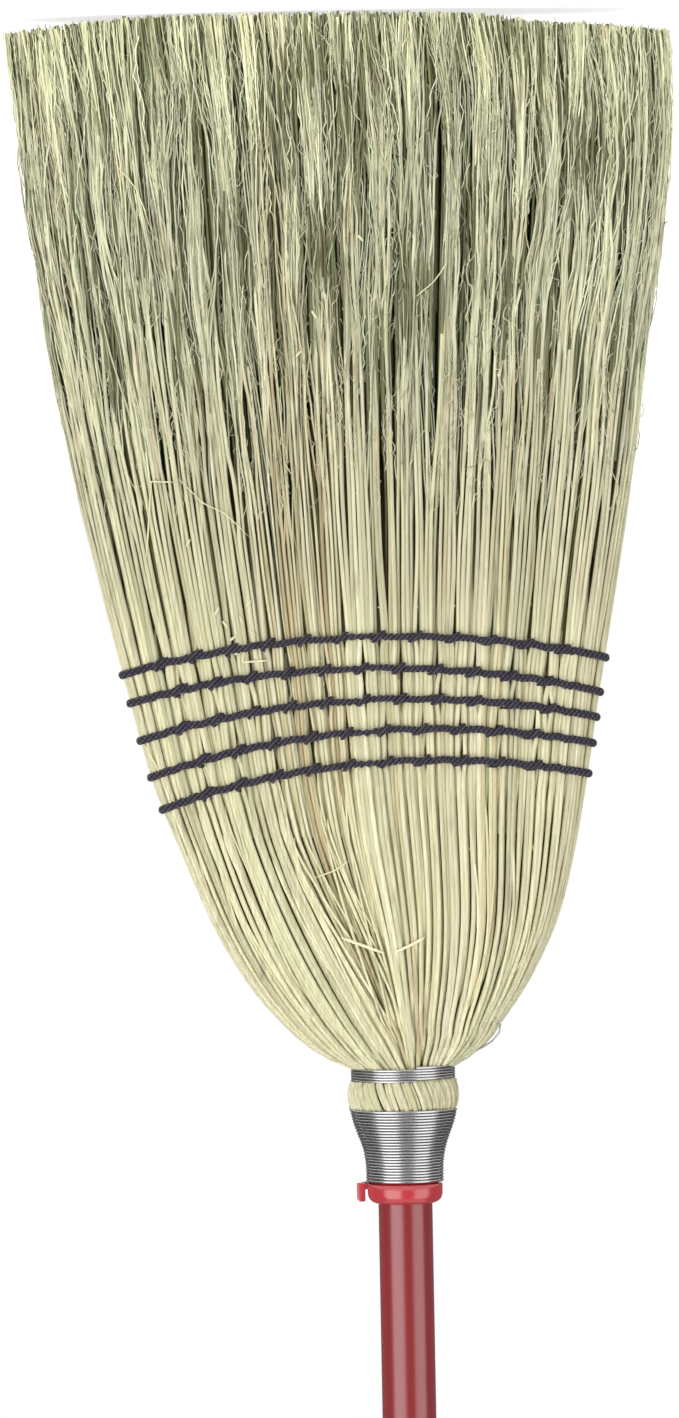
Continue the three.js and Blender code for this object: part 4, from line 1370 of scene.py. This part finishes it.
    def add_crossing(self, lines: Lines, count: int, span: Pair, turn: float) -> None:
        """Adds thin straws that lie on the shoulders and cross the rest at small angles.

        Args:
            lines: The set to add to.
            count: Number of straws.
            span: Least and greatest share at the sewing.
            turn: How far a straw strays to either side.
        """
        draw = self.random.uniform
        part = np.linspace(0, 1, self.crossing_points)
        for _ in range(count):
            low, high = draw(*self.crossing_foot), draw(*self.crossing_head)
            heights = low + (high - low) * part
            start = np.array([draw(*span)])
            stray = self.random.choice((-1.0, 1.0)) * draw(0.5, 1.0) * turn
            share = self.lay(start, heights[None, :])[0] + stray * (0.5 - part) / self.fan.girth(heights)
            points = self.fan.place(heights, share, 0.3 + 2.4 * np.abs(part * 2 - 1) ** 6)
            girth, tint = draw(*self.crossing_girth), self.random.beta(1.5, 2.0)
            lines.add(points, girth, 0.3, 0.0, tint, 1.04, draw(0, 50))

    def add_bulge(self, lines: Lines) -> None:
        """Adds the straws that bulge out between the band and the winding, and lean as they climb.

        Args:
            lines: The set to add to.
        """
        draw = self.random.uniform
        part = np.linspace(0, 1, self.bulge_points)
        heights = self.bulge_low + self.bulge_rise * part
        bow = self.bulge_bow * np.sin(part * math.pi) ** 0.36
        for index in range(self.bulge_straws):
            size = draw(*self.bulge_girth)
            radius = self.bulge_radius + bow - self.bulge_stagger * (index % 2) + draw(-0.1, 0.15)
            lean = self.bulge_lean - draw(-0.03, 0.03)
            angle = (index + draw(-0.2, 0.2)) / self.bulge_straws * FULL_TURN + lean * (part - 0.5)
            tint, shade = self.random.beta(1.2, 3.0), draw(0.78, 0.92)
            points = round_axis(radius, angle, heights)
            lines.add(points, size, 0.04, 0.0, tint, shade, self.random.random())

    def add_bits(self, lines: Lines) -> None:
        """Adds the odd bits that lie on the front: a bent straw, husks, wavy threads and chips.

        Args:
            lines: The set to add to.
        """
        for path, size, loose, tint in self.bits:
            self.add_bit(lines, path, size, loose, tint)
        for x, height, turn in self.chips:
            ways = [(way * math.sin(turn) * 1.9, way * math.cos(turn) * 1.9) for way in (-1, 0, 1)]
            self.add_bit(lines, [(x + over, height + up) for over, up in ways], 0.62, 0.0, 0.5)

    def add_bit(self, lines: Lines, path: Rows, size: float, loose: float, tint: float) -> None:
        """Adds one bit lying on the front.

        Args:
            lines: The set to add to.
            path: Its corners across and up the broom.
            size: Its radius.
            loose: How wavy it is.
            tint: Place in the finish's tints.
        """
        last = len(path) - 1
        fine = np.linspace(0, last, 6 * last + 1)
        x, height = (np.interp(fine, np.arange(len(path)), corners) for corners in np.array(path).T)
        lean, half, thick, power = self.fan.section(height)
        across = np.clip(np.abs((x - lean) / half), 0, 1)
        depth = thick * (1 - across**power) ** (1 / power)
        points = np.stack([x, -(depth + size * 0.7), height], axis=-1)
        ends = np.minimum(1.0, 0.35 + 4 * np.minimum(fine, last - fine) / last)
        lines.add(points, size * ends, loose, 0.0, tint, 1.12, self.random.random())

    def add_fibres(self, lines: Lines, kind: FibreKind) -> None:
        """Adds fine fibres that branch off the stems.

        Args:
            lines: The set to add to.
            kind: How they grow.
        """
        draw = self.random.uniform
        inside = np.nonzero((self.shares >= kind.span[0]) & (self.shares < kind.span[1]))[0]
        grid = np.arange(len(self.heights))
        for _ in range(kind.count):
            index = self.random.choice(inside)
            start = draw(*kind.start)
            tip = self.tip(self.stem_shares[index], self.stem_remnant)
            end = max(tip, start - draw(*kind.length))
            if self.random.random() < kind.full_share:
                end = tip
            run = start - end
            if run < self.least_fibre:
                continue
            part = np.linspace(0, 1, max(6, int(run / kind.step)))
            heights = start - run * part
            level = np.interp(heights, self.heights[::-1], grid[::-1])
            share = np.interp(level, grid, self.stem_shares[index])
            inset = np.interp(level, grid, self.stem_insets[index])
            side = self.random.normal(0, kind.spread) * run * part**0.9
            inset = inset + draw(*kind.lift) * run * part
            points = self.fan.place(heights, share + side / self.fan.girth(heights), np.maximum(inset, -0.6))
            girth = draw(*kind.girth) * (1 - 0.5 * part)
            loose = draw(*kind.waves) * np.minimum(1.0, part * 3.0) * np.clip(heights / 14.0, 0.2, 1.0)
            # Painted shade: a fibre that lies deeper is darker, by 12 % for each millimetre of mean inset
            # past 1.5, up to 5.
            sunk = float(np.clip(np.mean(inset) - 1.5, 0, 5))
            x, y, height = points[len(points) // 2]
            worn = y < 0 and self.random.random() < self.tan_share(x, height)
            tint = draw(0.75, 1.0) if worn else draw(0.0, 0.68)
            shade = draw(0.58, 1.24) * (1 - 0.12 * sunk)
            lines.add(points, girth, loose, self.along(heights), tint, shade, draw(0, 90))

    def add_stems(self, lines: Lines, count: int, depth: Pair) -> None:
        """Adds stems of an inner layer from under the sewing to the tips.

        Args:
            lines: The set to add to.
            count: Number of stems.
            depth: Least and greatest inset.
        """
        draw = self.random.uniform
        grid = np.arange(0.0, self.stem_top, self.stem_step)[::-1]
        shares = (np.arange(count) + draw(0, 1, count)) / count
        drift = self.wander(count, grid[None, :], (70.0, 120.0, 220.0))
        sway = self.wander(count, grid[None, :], (140.0, 240.0))
        slack = eased(grid, 270, 60)
        for index in range(count):
            share = shares[index] + drift[index] * (0.4 + 2.8 * slack) / self.fan.girth(grid)
            inset = np.maximum(draw(*depth) + (sway[index] * 2.4 - 1.6) * slack, 0.7)
            heights, points = self.cut(grid, share, inset, self.stem_remnant)
            girth = self.girth_at(heights, draw(*self.stem_girth), draw(*self.stem_tip_girth))
            loose = 0.1 + 0.5 * eased(heights, 262, 80)
            tint, shade = self.random.beta(1.6, 2.0), draw(0.82, 1.04)
            lines.add(points, girth, loose, self.along(heights), tint, shade, draw(0, 50))

    def add_filling(self, lines: Lines) -> None:
        """Adds the ends of the inner straws, side by side through the thickness.

        Args:
            lines: The set to add to.
        """
        draw = self.random.uniform
        lean, half, thick, power = (float(part) for part in self.fan.section(0.0))
        for x in np.arange(lean - half + 2, lean + half - 1, self.filling_pitch):
            for y in np.arange(-thick + 2, thick - 1, self.filling_pitch):
                across = (x + draw(-0.8, 0.8) - lean) / (half - self.filling_inset)
                through = (y + draw(-0.8, 0.8)) / (thick - self.filling_inset)
                if abs(across) ** power + abs(through) ** power > 1:
                    continue
                tip = 0.3 + self.cut_height(x) + self.random.exponential(self.filling_remnant)
                heights = np.linspace(draw(*self.filling_top), tip, 6)
                near, wide, deep, _ = self.fan.section(heights)
                place = (near + (wide - self.filling_inset) * across, (deep - self.filling_inset) * through)
                girth = np.linspace(0.75, draw(0.5, 0.72), 6)
                tint, shade = draw(0, 0.8), draw(0.75, 1.0)
                lines.add(np.stack([*place, heights], axis=-1), girth, 0.6, 0.9, tint, shade, draw(0, 50))

    def core(self, name: str, heights: Sequence[float], shade: float, material: Material) -> Object:
        """Packed straw under the stalks, seen only as ribbing between them, darkened with painted shade.

        Args:
            name: Name of the piece.
            heights: Heights of its rings.
            shade: Its brightness, lowered as painted shade.
            material: Material of the inner straw.

        Returns:
            The piece.
        """
        share = np.arange(self.core_sides) / self.core_sides
        ridge = self.core_ridge * np.cos(np.arange(self.core_sides) * math.pi)
        rings = []
        for height in heights:
            if height <= self.fan.straw_length:
                inset = self.core_inset + ridge + self.core_taper * eased(height, self.sewn_edge, 200)
                rings.append(self.fan.place(np.full(self.core_sides, height), share, inset))
            else:
                radius = np.interp(height, *np.array(self.neck_core).T)
                rings.append(round_axis(radius, share * FULL_TURN, height))
        values = {"tint": 0.8, "shade": shade, "along": 0.0}
        return lofted(name, np.array(rings), material, values=values)

    def build(self, recipe: Recipe, cover: Material, fine: Material, packed: Material) -> None:
        """Makes every piece of straw and lets it stand for its solid.

        Args:
            recipe: Tree for straws.
            cover: Material of the cover straw.
            fine: Material of the fine fibres.
            packed: Material of the inner straw, darkened with painted shade.
        """
        outer = (Slot.COVER, "cover_hurl")
        inner = (Slot.INNER, "inside_corn", "shoulder_left", "shoulder_right")
        betweens = [(self.add_between, face) for face in Face]
        odds = [(self.add_crossing, 12, (0.90, 1.0), 7.0), (self.add_crossing, 12, (0.785, 0.86), 8.0),
                (self.add_crossing, 20, (0.0, 1.0), 5.0), (self.add_bulge,), (self.add_bits,)]
        unders = [(self.add_stems, 250, (3.2, 5.6)), (self.add_stems, 190, (5.6, 9.5))]
        # Name, what it is made of, what settles it, material, slot and solids, sides, wave scale,
        # wave detail, seed.
        pieces = [
            ("cover_straws_front", [(self.add_stalks, Face.FRONT)], self.settle, cover, outer, 6, 22, 1, 3),
            ("cover_straws_back", [(self.add_stalks, Face.BACK)], self.settle, cover, outer, 6, 22, 1, 3),
            ("sewn_straws", betweens, self.settle, cover, outer, 5, 22, 1, 3),
            ("loose_straws", odds, None, cover, outer, 6, 60, 2, 4),
            *[(f"fibres_{kind.label}", [(self.add_fibres, kind)], self.settle, fine, outer, 3, kind.kink,
               2, 7) for kind in FIBRES],
            ("under_stems", unders, self.settle, packed, inner, 5, 40, 2, 5),
            ("inner_tips", [(self.add_filling,)], None, packed, inner, 4, 30, 2, 9),
        ]
        for name, steps, settle, material, place, sides, *wave in pieces:
            lines = Lines()
            for adder, *sizes in steps:
                adder(lines, *sizes)
            scale, detail, seed = (float(part) for part in wave)
            waves = {"Wave_Scale": scale, "Wave_Detail": detail, "Seed": seed}
            guide = lines.mesh(settle=settle)
            dress(recipe.run(name, guide, material, Sides=sides, **waves), *place)
        upper = (*np.linspace(*self.upper_core), *(height for height, _ in self.neck_core))
        # Both cores are darkened as painted shade, more past the sewing, so the gaps between the straws read
        # dark.
        dress(self.core("straw_core", upper, 0.85, packed), *inner)
        dress(self.core("straw_core_low", np.linspace(*self.lower_core), 0.5, packed), *inner)


@dataclass(frozen=True)
class Coil:
    """One wound stretch of the neck wire, in millimetres, clockwise as it climbs."""

    name: str
    turns: float
    start_turn: float
    low: float
    high: float
    radius: float
    top_radius: float
    unevenness: float
    tilt: float
    taper_shares: Rows = ((0, 0), (1, 1))
    steps: int = 96

    def recipe(self) -> Recipe:
        """Tree that winds a wire round the handle's axis.

        Returns:
            The tree.
        """
        counts = {"Turns": 5.0, "Steps": 480, "Sides": 10, "Start Turn": 0.0, "Tilt": 0.0}
        heights = {"Low Height": 0.0, "High Height": 0.01}
        radii = {"Greatest Radius": 0.02, "Wire Radius": 0.0006, "Unevenness": 0.00005}
        recipe = Recipe(self.name + "_tree", {**counts, **heights, **radii})
        shop, given = recipe.shop, recipe.given
        line = shop.result("GeometryNodeMeshLine", {"mode": "OFFSET"}, {"Count": given("Steps")})
        share = shop.result("GeometryNodeInputIndex") / (given("Steps") - 1.0)
        angle = (given("Start Turn") - share * given("Turns")) * FULL_TURN
        curve = shop.node("ShaderNodeFloatCurve", {}, {"Value": share})
        points = curve.mapping.curves[0].points
        while len(points) < len(self.taper_shares):
            points.new(0.5, 0.5)
        drop = 1 - self.top_radius / self.radius
        for point, (place, part) in zip(points, self.taper_shares):
            point.location = (place, 1 - drop * part)
            point.handle_type = "AUTO_CLAMPED"
        curve.mapping.update()
        wave = {"W": share * given("Turns") * 1.7, "Scale": 1.0, "Detail": 1.0}
        noise = shop.result("ShaderNodeTexNoise", {"noise_dimensions": "1D"}, wave)
        stray = (noise - 0.5) * given("Unevenness")
        radius = Channel(shop, curve.outputs[0]) * given("Greatest Radius") + stray
        rise = given("High Height") - given("Low Height")
        height = given("Low Height") + share * rise + stray * 0.6
        across = radius * angle.cosine()
        spot = {0: across, 1: radius * angle.sine(), 2: height + across * given("Tilt")}
        wound = recipe.moved(line, Position=shop.result("ShaderNodeCombineXYZ", {}, spot))
        recipe.tubes(recipe.curves(wound), given("Wire Radius"))
        return recipe

    def build(self, wire: Material, wire_radius: float) -> Object:
        """Winds the wire.

        Args:
            wire: The wire's material.
            wire_radius: Its radius.

        Returns:
            The piece.
        """
        point = bpy.data.meshes.new("point")
        point.from_pydata([(0, 0, 0)], [], [])
        return self.recipe().run(
            self.name, point, wire, Turns=self.turns, Steps=int(self.turns * self.steps) + 1, Sides=10,
            Start_Turn=self.start_turn, Low_Height=self.low * MM, High_Height=self.high * MM,
            Greatest_Radius=self.radius * MM, Wire_Radius=wire_radius * MM,
            Unevenness=self.unevenness * MM, Tilt=self.tilt,
        )


@dataclass
class Neck:
    """Neck wire: the band, the climb over the straw bulge, the tapered winding and the loose ends."""

    wire_radius: float = 0.6
    climb_radius: float = 25.3
    climb_points: int = 40
    tail_points: int = 16
    tail_spring: float = 3.3
    tail_turn: float = 0.55
    tail_rise: float = 0.3
    thread_radius: float = 0.38
    band: Coil = Coil("neck_wire_band", 5.0, 0.71, 463.9, 469.9, 22.48, 22.48, 0.12, 0.008)
    winding: Coil = Coil(
        "neck_wire_winding", 25.0, 1.0, 482.9, 515.1, 23.1, 16.5, 0.16, 0.01,
        ((0, 0), (0.1, 0.1), (0.2, 0.24), (0.31, 0.43), (0.42, 0.63), (0.52, 0.79), (0.63, 0.9),
         (0.74, 0.97), (1, 1)),
    )
    thread = (
        (-20, -9, 463), (-26, -7, 461), (-31, -5, 458.4), (-35.5, -4, 456), (-39.5, -4, 453.4),
        (-42.4, -5, 450), (-43.2, -7, 446.6), (-41, -9, 443),
    )

    def build(self, wire: Material, straws: Recipe) -> None:
        """Makes the wire.

        Args:
            wire: The wire's material.
            straws: Tree for plain tubes, used for the climb, the tail and the thin end.
        """
        band, winding, ends = self.band, self.winding, Lines()
        part = np.linspace(0, 1, self.climb_points)
        over = np.minimum(1, 2 * np.sin(np.pi * part))
        radius = band.radius + (winding.radius - band.radius) * part
        height = band.high + (winding.low - band.high) * part
        climb = round_axis(radius + (self.climb_radius - radius) * over, math.pi * (1 - part), height)
        part = np.linspace(0, 1, self.tail_points)
        radius = winding.top_radius + self.tail_spring * part**1.5
        tail = round_axis(radius, self.tail_turn * (1 - part), winding.high + self.tail_rise * part)
        ends.add(climb, self.wire_radius)
        ends.add(tail, self.wire_radius)
        ends.add(np.array(self.thread, float), self.thread_radius)
        wound = [coil.build(wire, self.wire_radius) for coil in (band, winding)]
        loose = straws.run("neck_wire_ends", ends.mesh(), wire, Sides=10)
        dress(join(*wound, loose), Slot.WIRE, "neck_wire")


@dataclass
class Collar:
    """Plastic keeper: a flange with one straight and one rounded edge, a sleeve and a side lug."""

    bore: float = 12.2
    sleeve: float = 13.2
    sleeve_low: float = 489.0
    seat: float = 15.0
    seat_low: float = 504.4
    flange: float = 16.5
    low: float = 515.6
    high: float = 524.4
    straight: float = 3.8
    crown: float = 6.0
    corner: float = 4.2
    edge: float = 0.3
    top_step: float = 0.5
    arc_points: int = 8
    lug_reach: float = 21.3
    lug_root: float = 15.2
    lug_gap: float = 17.6
    lug_half: float = 2.0
    lug_foot: float = 0.5
    lug_bridge: float = 2.3
    lug_shoulder: float = 6.4
    lug_mouth: float = 7.0
    lug_top: float = 7.7
    lug_slope: float = 1.2
    lug_rounding: float = 0.45

    def build(self, plastic: Material) -> None:
        """Makes the collar.

        Args:
            plastic: Its material.
        """
        low, high, edge = self.low, self.high, self.edge
        profile = [
            (self.bore, self.sleeve_low), (self.sleeve, self.sleeve_low), (self.sleeve, self.seat_low),
            (self.seat, self.seat_low), (self.seat, low),
            (self.flange - edge, low), (self.flange, low + edge),
        ]
        spot = (self.flange, low + self.straight)
        for radius, first, last in ((self.crown, 0, 20), (self.corner, 20, 80)):
            turns = np.radians(np.linspace(first, last, self.arc_points))
            out = spot[0] - radius * (np.cos(turns[0]) - np.cos(turns))
            up = spot[1] + radius * (np.sin(turns) - np.sin(turns[0]))
            *arc, spot = zip(out, up)
            profile += arc
        profile += [spot, (spot[0] - self.top_step, high)]
        profile += [(self.bore + edge, high), (self.bore, high - edge)]
        ring = turned("keeper_moulded", profile, 128, plastic)
        dress(join(ring, self._lug(plastic)), Slot.PLASTIC, "keeper_collar")

    def _lug(self, plastic: Material) -> Object:
        """Side lug with its bridge to the flange.

        Args:
            plastic: Its material.

        Returns:
            The lug, with rounded edges.
        """
        root, gap, reach, low, edge = self.lug_root, self.lug_gap, self.lug_reach, self.low, self.edge
        foot, bridge, top = low - self.lug_foot, low + self.lug_bridge, low + self.lug_top
        outline = [
            (root, low), (gap - edge, low), (gap, foot), (reach, foot), (reach, low + self.lug_shoulder),
            (reach - self.lug_slope, top), (gap + edge, top), (gap, low + self.lug_mouth), (gap, bridge),
            (root, bridge),
        ]
        sides = [[(x, y, z) for x, z in outline] for y in (self.lug_half, -self.lug_half)]
        lug = lofted("lug", np.array(sides), plastic)
        finish_edges(lug, self.lug_rounding)
        return lug


@dataclass
class Handle:
    """Coated tube and hanging cap."""

    radius: float = 11.9
    wall: float = 0.8
    low: float = 355.0
    high: float = 1382.0
    rim: float = 0.3
    rings: int = 24
    first_ring: float = 20.0
    last_ring: float = 0.4
    head: float = 12.7
    head_length: float = 40.0
    head_edge: float = 0.8
    plug: float = 10.8
    plug_length: float = 24.0
    plug_edge: float = 1.4
    pole: float = 0.01
    dome_points: int = 17
    flat: float = 6.0
    flat_length: float = 33.0
    flat_depth: float = 9.0
    hole_radius: float = 4.75
    hole_drop: float = 15.0
    hole_length: float = 40.0
    overrun: float = 1.0
    cut_spare: float = 0.6
    cap_rounding: float = 0.5

    def build(self, coating: Material, plastic: Material) -> None:
        """Makes the tube and the cap.

        Args:
            coating: The tube's material.
            plastic: The cap's material.
        """
        inner = self.radius - self.wall
        profile = [(inner, self.low), (self.radius, self.low)]
        rings = np.linspace(self.low + self.first_ring, self.high - self.last_ring, self.rings)
        profile += [(self.radius, height) for height in rings]
        profile += [(self.radius - self.rim, self.high), (inner, self.high)]
        dress(turned("handle_tube_coated", profile, 128, coating), Slot.HANDLE, "handle_tube")
        dress(self._cap(plastic), Slot.PLASTIC, "hang_cap")

    def _cap(self, plastic: Material) -> Object:
        """Cap with a plug, a dome, two flats and a hanging hole.

        Args:
            plastic: Its material.

        Returns:
            The cap.
        """
        base, head, plug = self.high + self.rim, self.head, self.plug
        top, foot = base + self.head_length, base - self.plug_length
        pole, lead, edge = self.pole, self.plug_edge, self.head_edge
        profile = [
            (pole, foot), (plug - lead, foot), (plug, foot + lead), (plug, base), (head - edge, base),
            (head, base + edge),
        ]
        for turn in np.linspace(0, math.pi / 2, self.dome_points):
            profile.append((max(pole, head * math.cos(turn)), top - head + head * math.sin(turn)))
        cap = turned("hang_cap_moulded", profile, 96, plastic, capped=True)
        tall, deep = self.flat_length + self.overrun, self.flat_depth
        for side in Face:
            middle = Vector((0, side.value * (self.flat + deep / 2), top + self.overrun - tall / 2))
            bpy.ops.mesh.primitive_cube_add(size=1, location=middle * MM)
            bpy.context.object.scale = Vector((2 * head + self.cut_spare, deep, tall)) * MM
            self._cut(cap, bpy.context.object)
        bpy.ops.mesh.primitive_cylinder_add(
            vertices=64, radius=self.hole_radius * MM, depth=self.hole_length * MM,
            rotation=(math.pi / 2, 0, 0), location=(0, 0, (top - self.hole_drop) * MM),
        )
        self._cut(cap, bpy.context.object)
        finish_edges(cap, self.cap_rounding)
        return cap

    @staticmethod
    def _cut(cap: Object, cutter: Object) -> None:
        """Cuts one shape out of the cap and removes the cutter.

        Args:
            cap: The cap.
            cutter: The shape.
        """
        bpy.context.view_layer.update()
        modifier = cap.modifiers.new("cut", "BOOLEAN")
        modifier.operation = "DIFFERENCE"
        modifier.solver = "EXACT"
        modifier.object = cutter
        keep_result(cap)
        bpy.data.objects.remove(cutter)


@dataclass
class Studio:
    """Camera at the photograph's angle, soft lamps, pale floor and white surroundings."""

    distance: float = 3.2
    reach: float = 1.9
    scale: float = 0.000441
    tilt: float = 1.07
    frame_height: int = 1418
    aim: Pair = (0.02502, 0.306)
    ambient: float = 0.2
    card_inset: float = 0.25
    card_heights: Pair = (-0.2, 2.6)
    card_steps: int = 12
    floor_size: float = 14.0
    floor_drop: float = 0.0003

    # Lamps: name, degrees from the camera towards +X, height of the middle, width and height, radiance.
    lamps = (
        ("softbox_left", 40, 0.85, (1.85, 3.2), 2.9), ("softbox_right", -53, 0.85, (1.7, 3.2), 2.0),
        ("softbox_back_left", 140, 0.9, (1.4, 1.6), 1.7), ("softbox_back_right", -142, 0.9, (1.4, 1.6), 1.7),
    )
    # Dark cards that show only in gloss: name, first and last degree from the camera, brightness.
    cards = (("card_between", -26, 10, 0.2), ("card_left", 68, 172, 0.16), ("card_right", -172, -80, 0.16))

    def camera(self) -> None:
        """Makes the camera, which looks along +Y with the broom's tips at the top of the picture."""
        data = bpy.data.cameras.new("camera")
        data.sensor_width = 36.0
        data.lens = data.sensor_width * self.distance / (self.frame_height * self.scale)
        data.clip_end = 50.0
        tilt = math.radians(self.tilt)
        right = Vector((-math.cos(tilt), 0, math.sin(tilt)))
        up = Vector((-math.sin(tilt), 0, -math.cos(tilt)))
        turn = Matrix((right, up, Vector((0, -1, 0)))).transposed().to_4x4()
        made = new_object("camera", data)
        made.matrix_world = Matrix.Translation((self.aim[0], -self.distance, self.aim[1])) @ turn
        bpy.context.scene.camera = made

    def lamp(self, name: str, turn: float, height: float, size: Pair, radiance: float) -> None:
        """Makes one soft lamp that faces the broom.

        Args:
            name: Its name.
            turn: Degrees from the camera's direction, towards +X.
            height: Height of its middle, in metres.
            size: Width and height, in metres.
            radiance: Brightness of its face.
        """
        data = bpy.data.lights.new(name, "AREA")
        data.shape = "RECTANGLE"
        data.size, data.size_y = size
        data.energy = radiance * math.pi * size[0] * size[1]
        angle = math.radians(turn)
        made = new_object(name, data)
        made.location = (math.sin(angle) * self.reach, -math.cos(angle) * self.reach, height)
        made.rotation_euler = (math.pi / 2, 0, angle)
        made.visible_camera = False

    def card(self, name: str, first: float, last: float, level: float) -> None:
        """Makes a dark card that only shows in gloss, as photographers put beside metal.

        Args:
            name: Its name.
            first: Degrees from the camera's direction where it starts.
            last: Degrees where it ends.
            level: Its brightness.
        """
        material, shop = new_material(name)
        glow = shop.result("ShaderNodeEmission", {}, {"Color": (1, 1, 1.06, 1), "Strength": level})
        shop.end(MATERIAL_OUTPUT, glow)
        low, high = self.card_heights
        over = self.card_steps + 1
        turns = np.radians(np.linspace(first, last, over)) - math.pi / 2
        foot = round_axis(self.reach - self.card_inset, turns, low).tolist()
        head = [(x, y, high) for x, y, _ in foot]
        faces = [(step, step + 1, step + over + 1, step + over) for step in range(self.card_steps)]
        mesh = bpy.data.meshes.new(name)
        mesh.from_pydata(foot + head, [], faces)
        mesh.materials.append(material)
        made = new_object(name, mesh)
        for way in ("camera", "diffuse", "shadow", "transmission", "volume_scatter"):
            setattr(made, "visible_" + way, False)

    def world(self) -> None:
        """Sets even surroundings: white to the camera and in reflections, softer as light."""
        world = bpy.data.worlds.new("surroundings")
        world.use_nodes = True
        bpy.context.scene.world = world
        shop = Workshop(world.node_tree)
        strength = shop.seen("Camera", "Glossy", "Transmission") * (1.0 - self.ambient) + self.ambient
        ground = shop.result("ShaderNodeBackground", {}, {"Color": (1, 1, 1, 1), "Strength": strength})
        shop.end("ShaderNodeOutputWorld", ground)

    def floor(self) -> None:
        """Makes the pale floor, which stays white to the camera but keeps the broom's shadow."""
        material, shop = new_material("pale_floor")
        diffuse = shop.result("ShaderNodeBsdfDiffuse", {}, {"Color": (0.8, 0.8, 0.8, 1)})
        place = shop.result("ShaderNodeTexCoord", output="Object")
        far = shop.result("ShaderNodeVectorMath", {"operation": "LENGTH"}, {0: place}, "Value")
        strength = shop.seen("Camera", "Glossy") * (0.75 + ((far - 0.5) * 0.3).within(0.0, 0.3))
        glow = shop.result("ShaderNodeEmission", {}, {"Color": (1, 1, 1, 1), "Strength": strength})
        shop.end(MATERIAL_OUTPUT, shop.result("ShaderNodeAddShader", {}, {0: diffuse, 1: glow}))
        bpy.ops.mesh.primitive_plane_add(size=self.floor_size, location=(0, 0, -self.floor_drop))
        floor = bpy.context.object
        floor.name = "floor"
        floor.data.materials.append(material)

    def build(self) -> None:
        """Makes the whole studio."""
        self.camera()
        self.world()
        for lamp in self.lamps:
            self.lamp(*lamp)
        for card in self.cards:
            self.card(*card)
        self.floor()
        bpy.context.scene.view_settings.view_transform = "Standard"


def main() -> None:
    """Builds the broom's looks and the studio."""
    logging.basicConfig(level=logging.INFO, format="%(name)s: %(message)s")
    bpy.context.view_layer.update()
    cover = StrawFinish(
        "cover_broomcorn",
        ((0.0, (254, 250, 218)), (0.3, (248, 243, 204)), (0.55, (236, 237, 198)),
         (0.75, (236, 226, 184)), (1.0, (204, 184, 138))),
        (250, 252, 224),
    )
    fine = StrawFinish(
        "fine_broomcorn",
        ((0.0, (254, 254, 220)), (0.35, (242, 246, 208)), (0.65, (224, 230, 192)),
         (0.8, (232, 216, 170)), (1.0, (200, 178, 126))),
        (250, 254, 228),
    )
    # The inner straw's colours are the broomcorn's, darkened with painted shade so the gaps between the
    # stalks read dark.
    inner = StrawFinish(
        "inner_broomcorn_shaded",
        ((0.0, (166, 168, 122)), (0.5, (132, 134, 94)), (1.0, (102, 94, 58))),
        (118, 126, 92),
    )
    fan, straws = Fan(), straw_recipe()
    sewing = Sewing(fan)
    StrawHead(fan, sewing).build(straws, cover.build(), fine.build(), inner.build())
    sewing.build(cord_recipe(), TwineFinish("navy_twine").build())
    wire = WireFinish("drawn_wire").build()
    Neck().build(wire, straws)
    plastic = PlasticFinish("red_plastic").build()
    Collar().build(plastic)
    Handle().build(CoatingFinish("red_coating").build(), plastic)
    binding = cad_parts["inside_binding"]
    binding.data.materials.clear()
    binding.data.materials.append(wire)
    Studio().build()


if __name__ == "__main__":
    main()
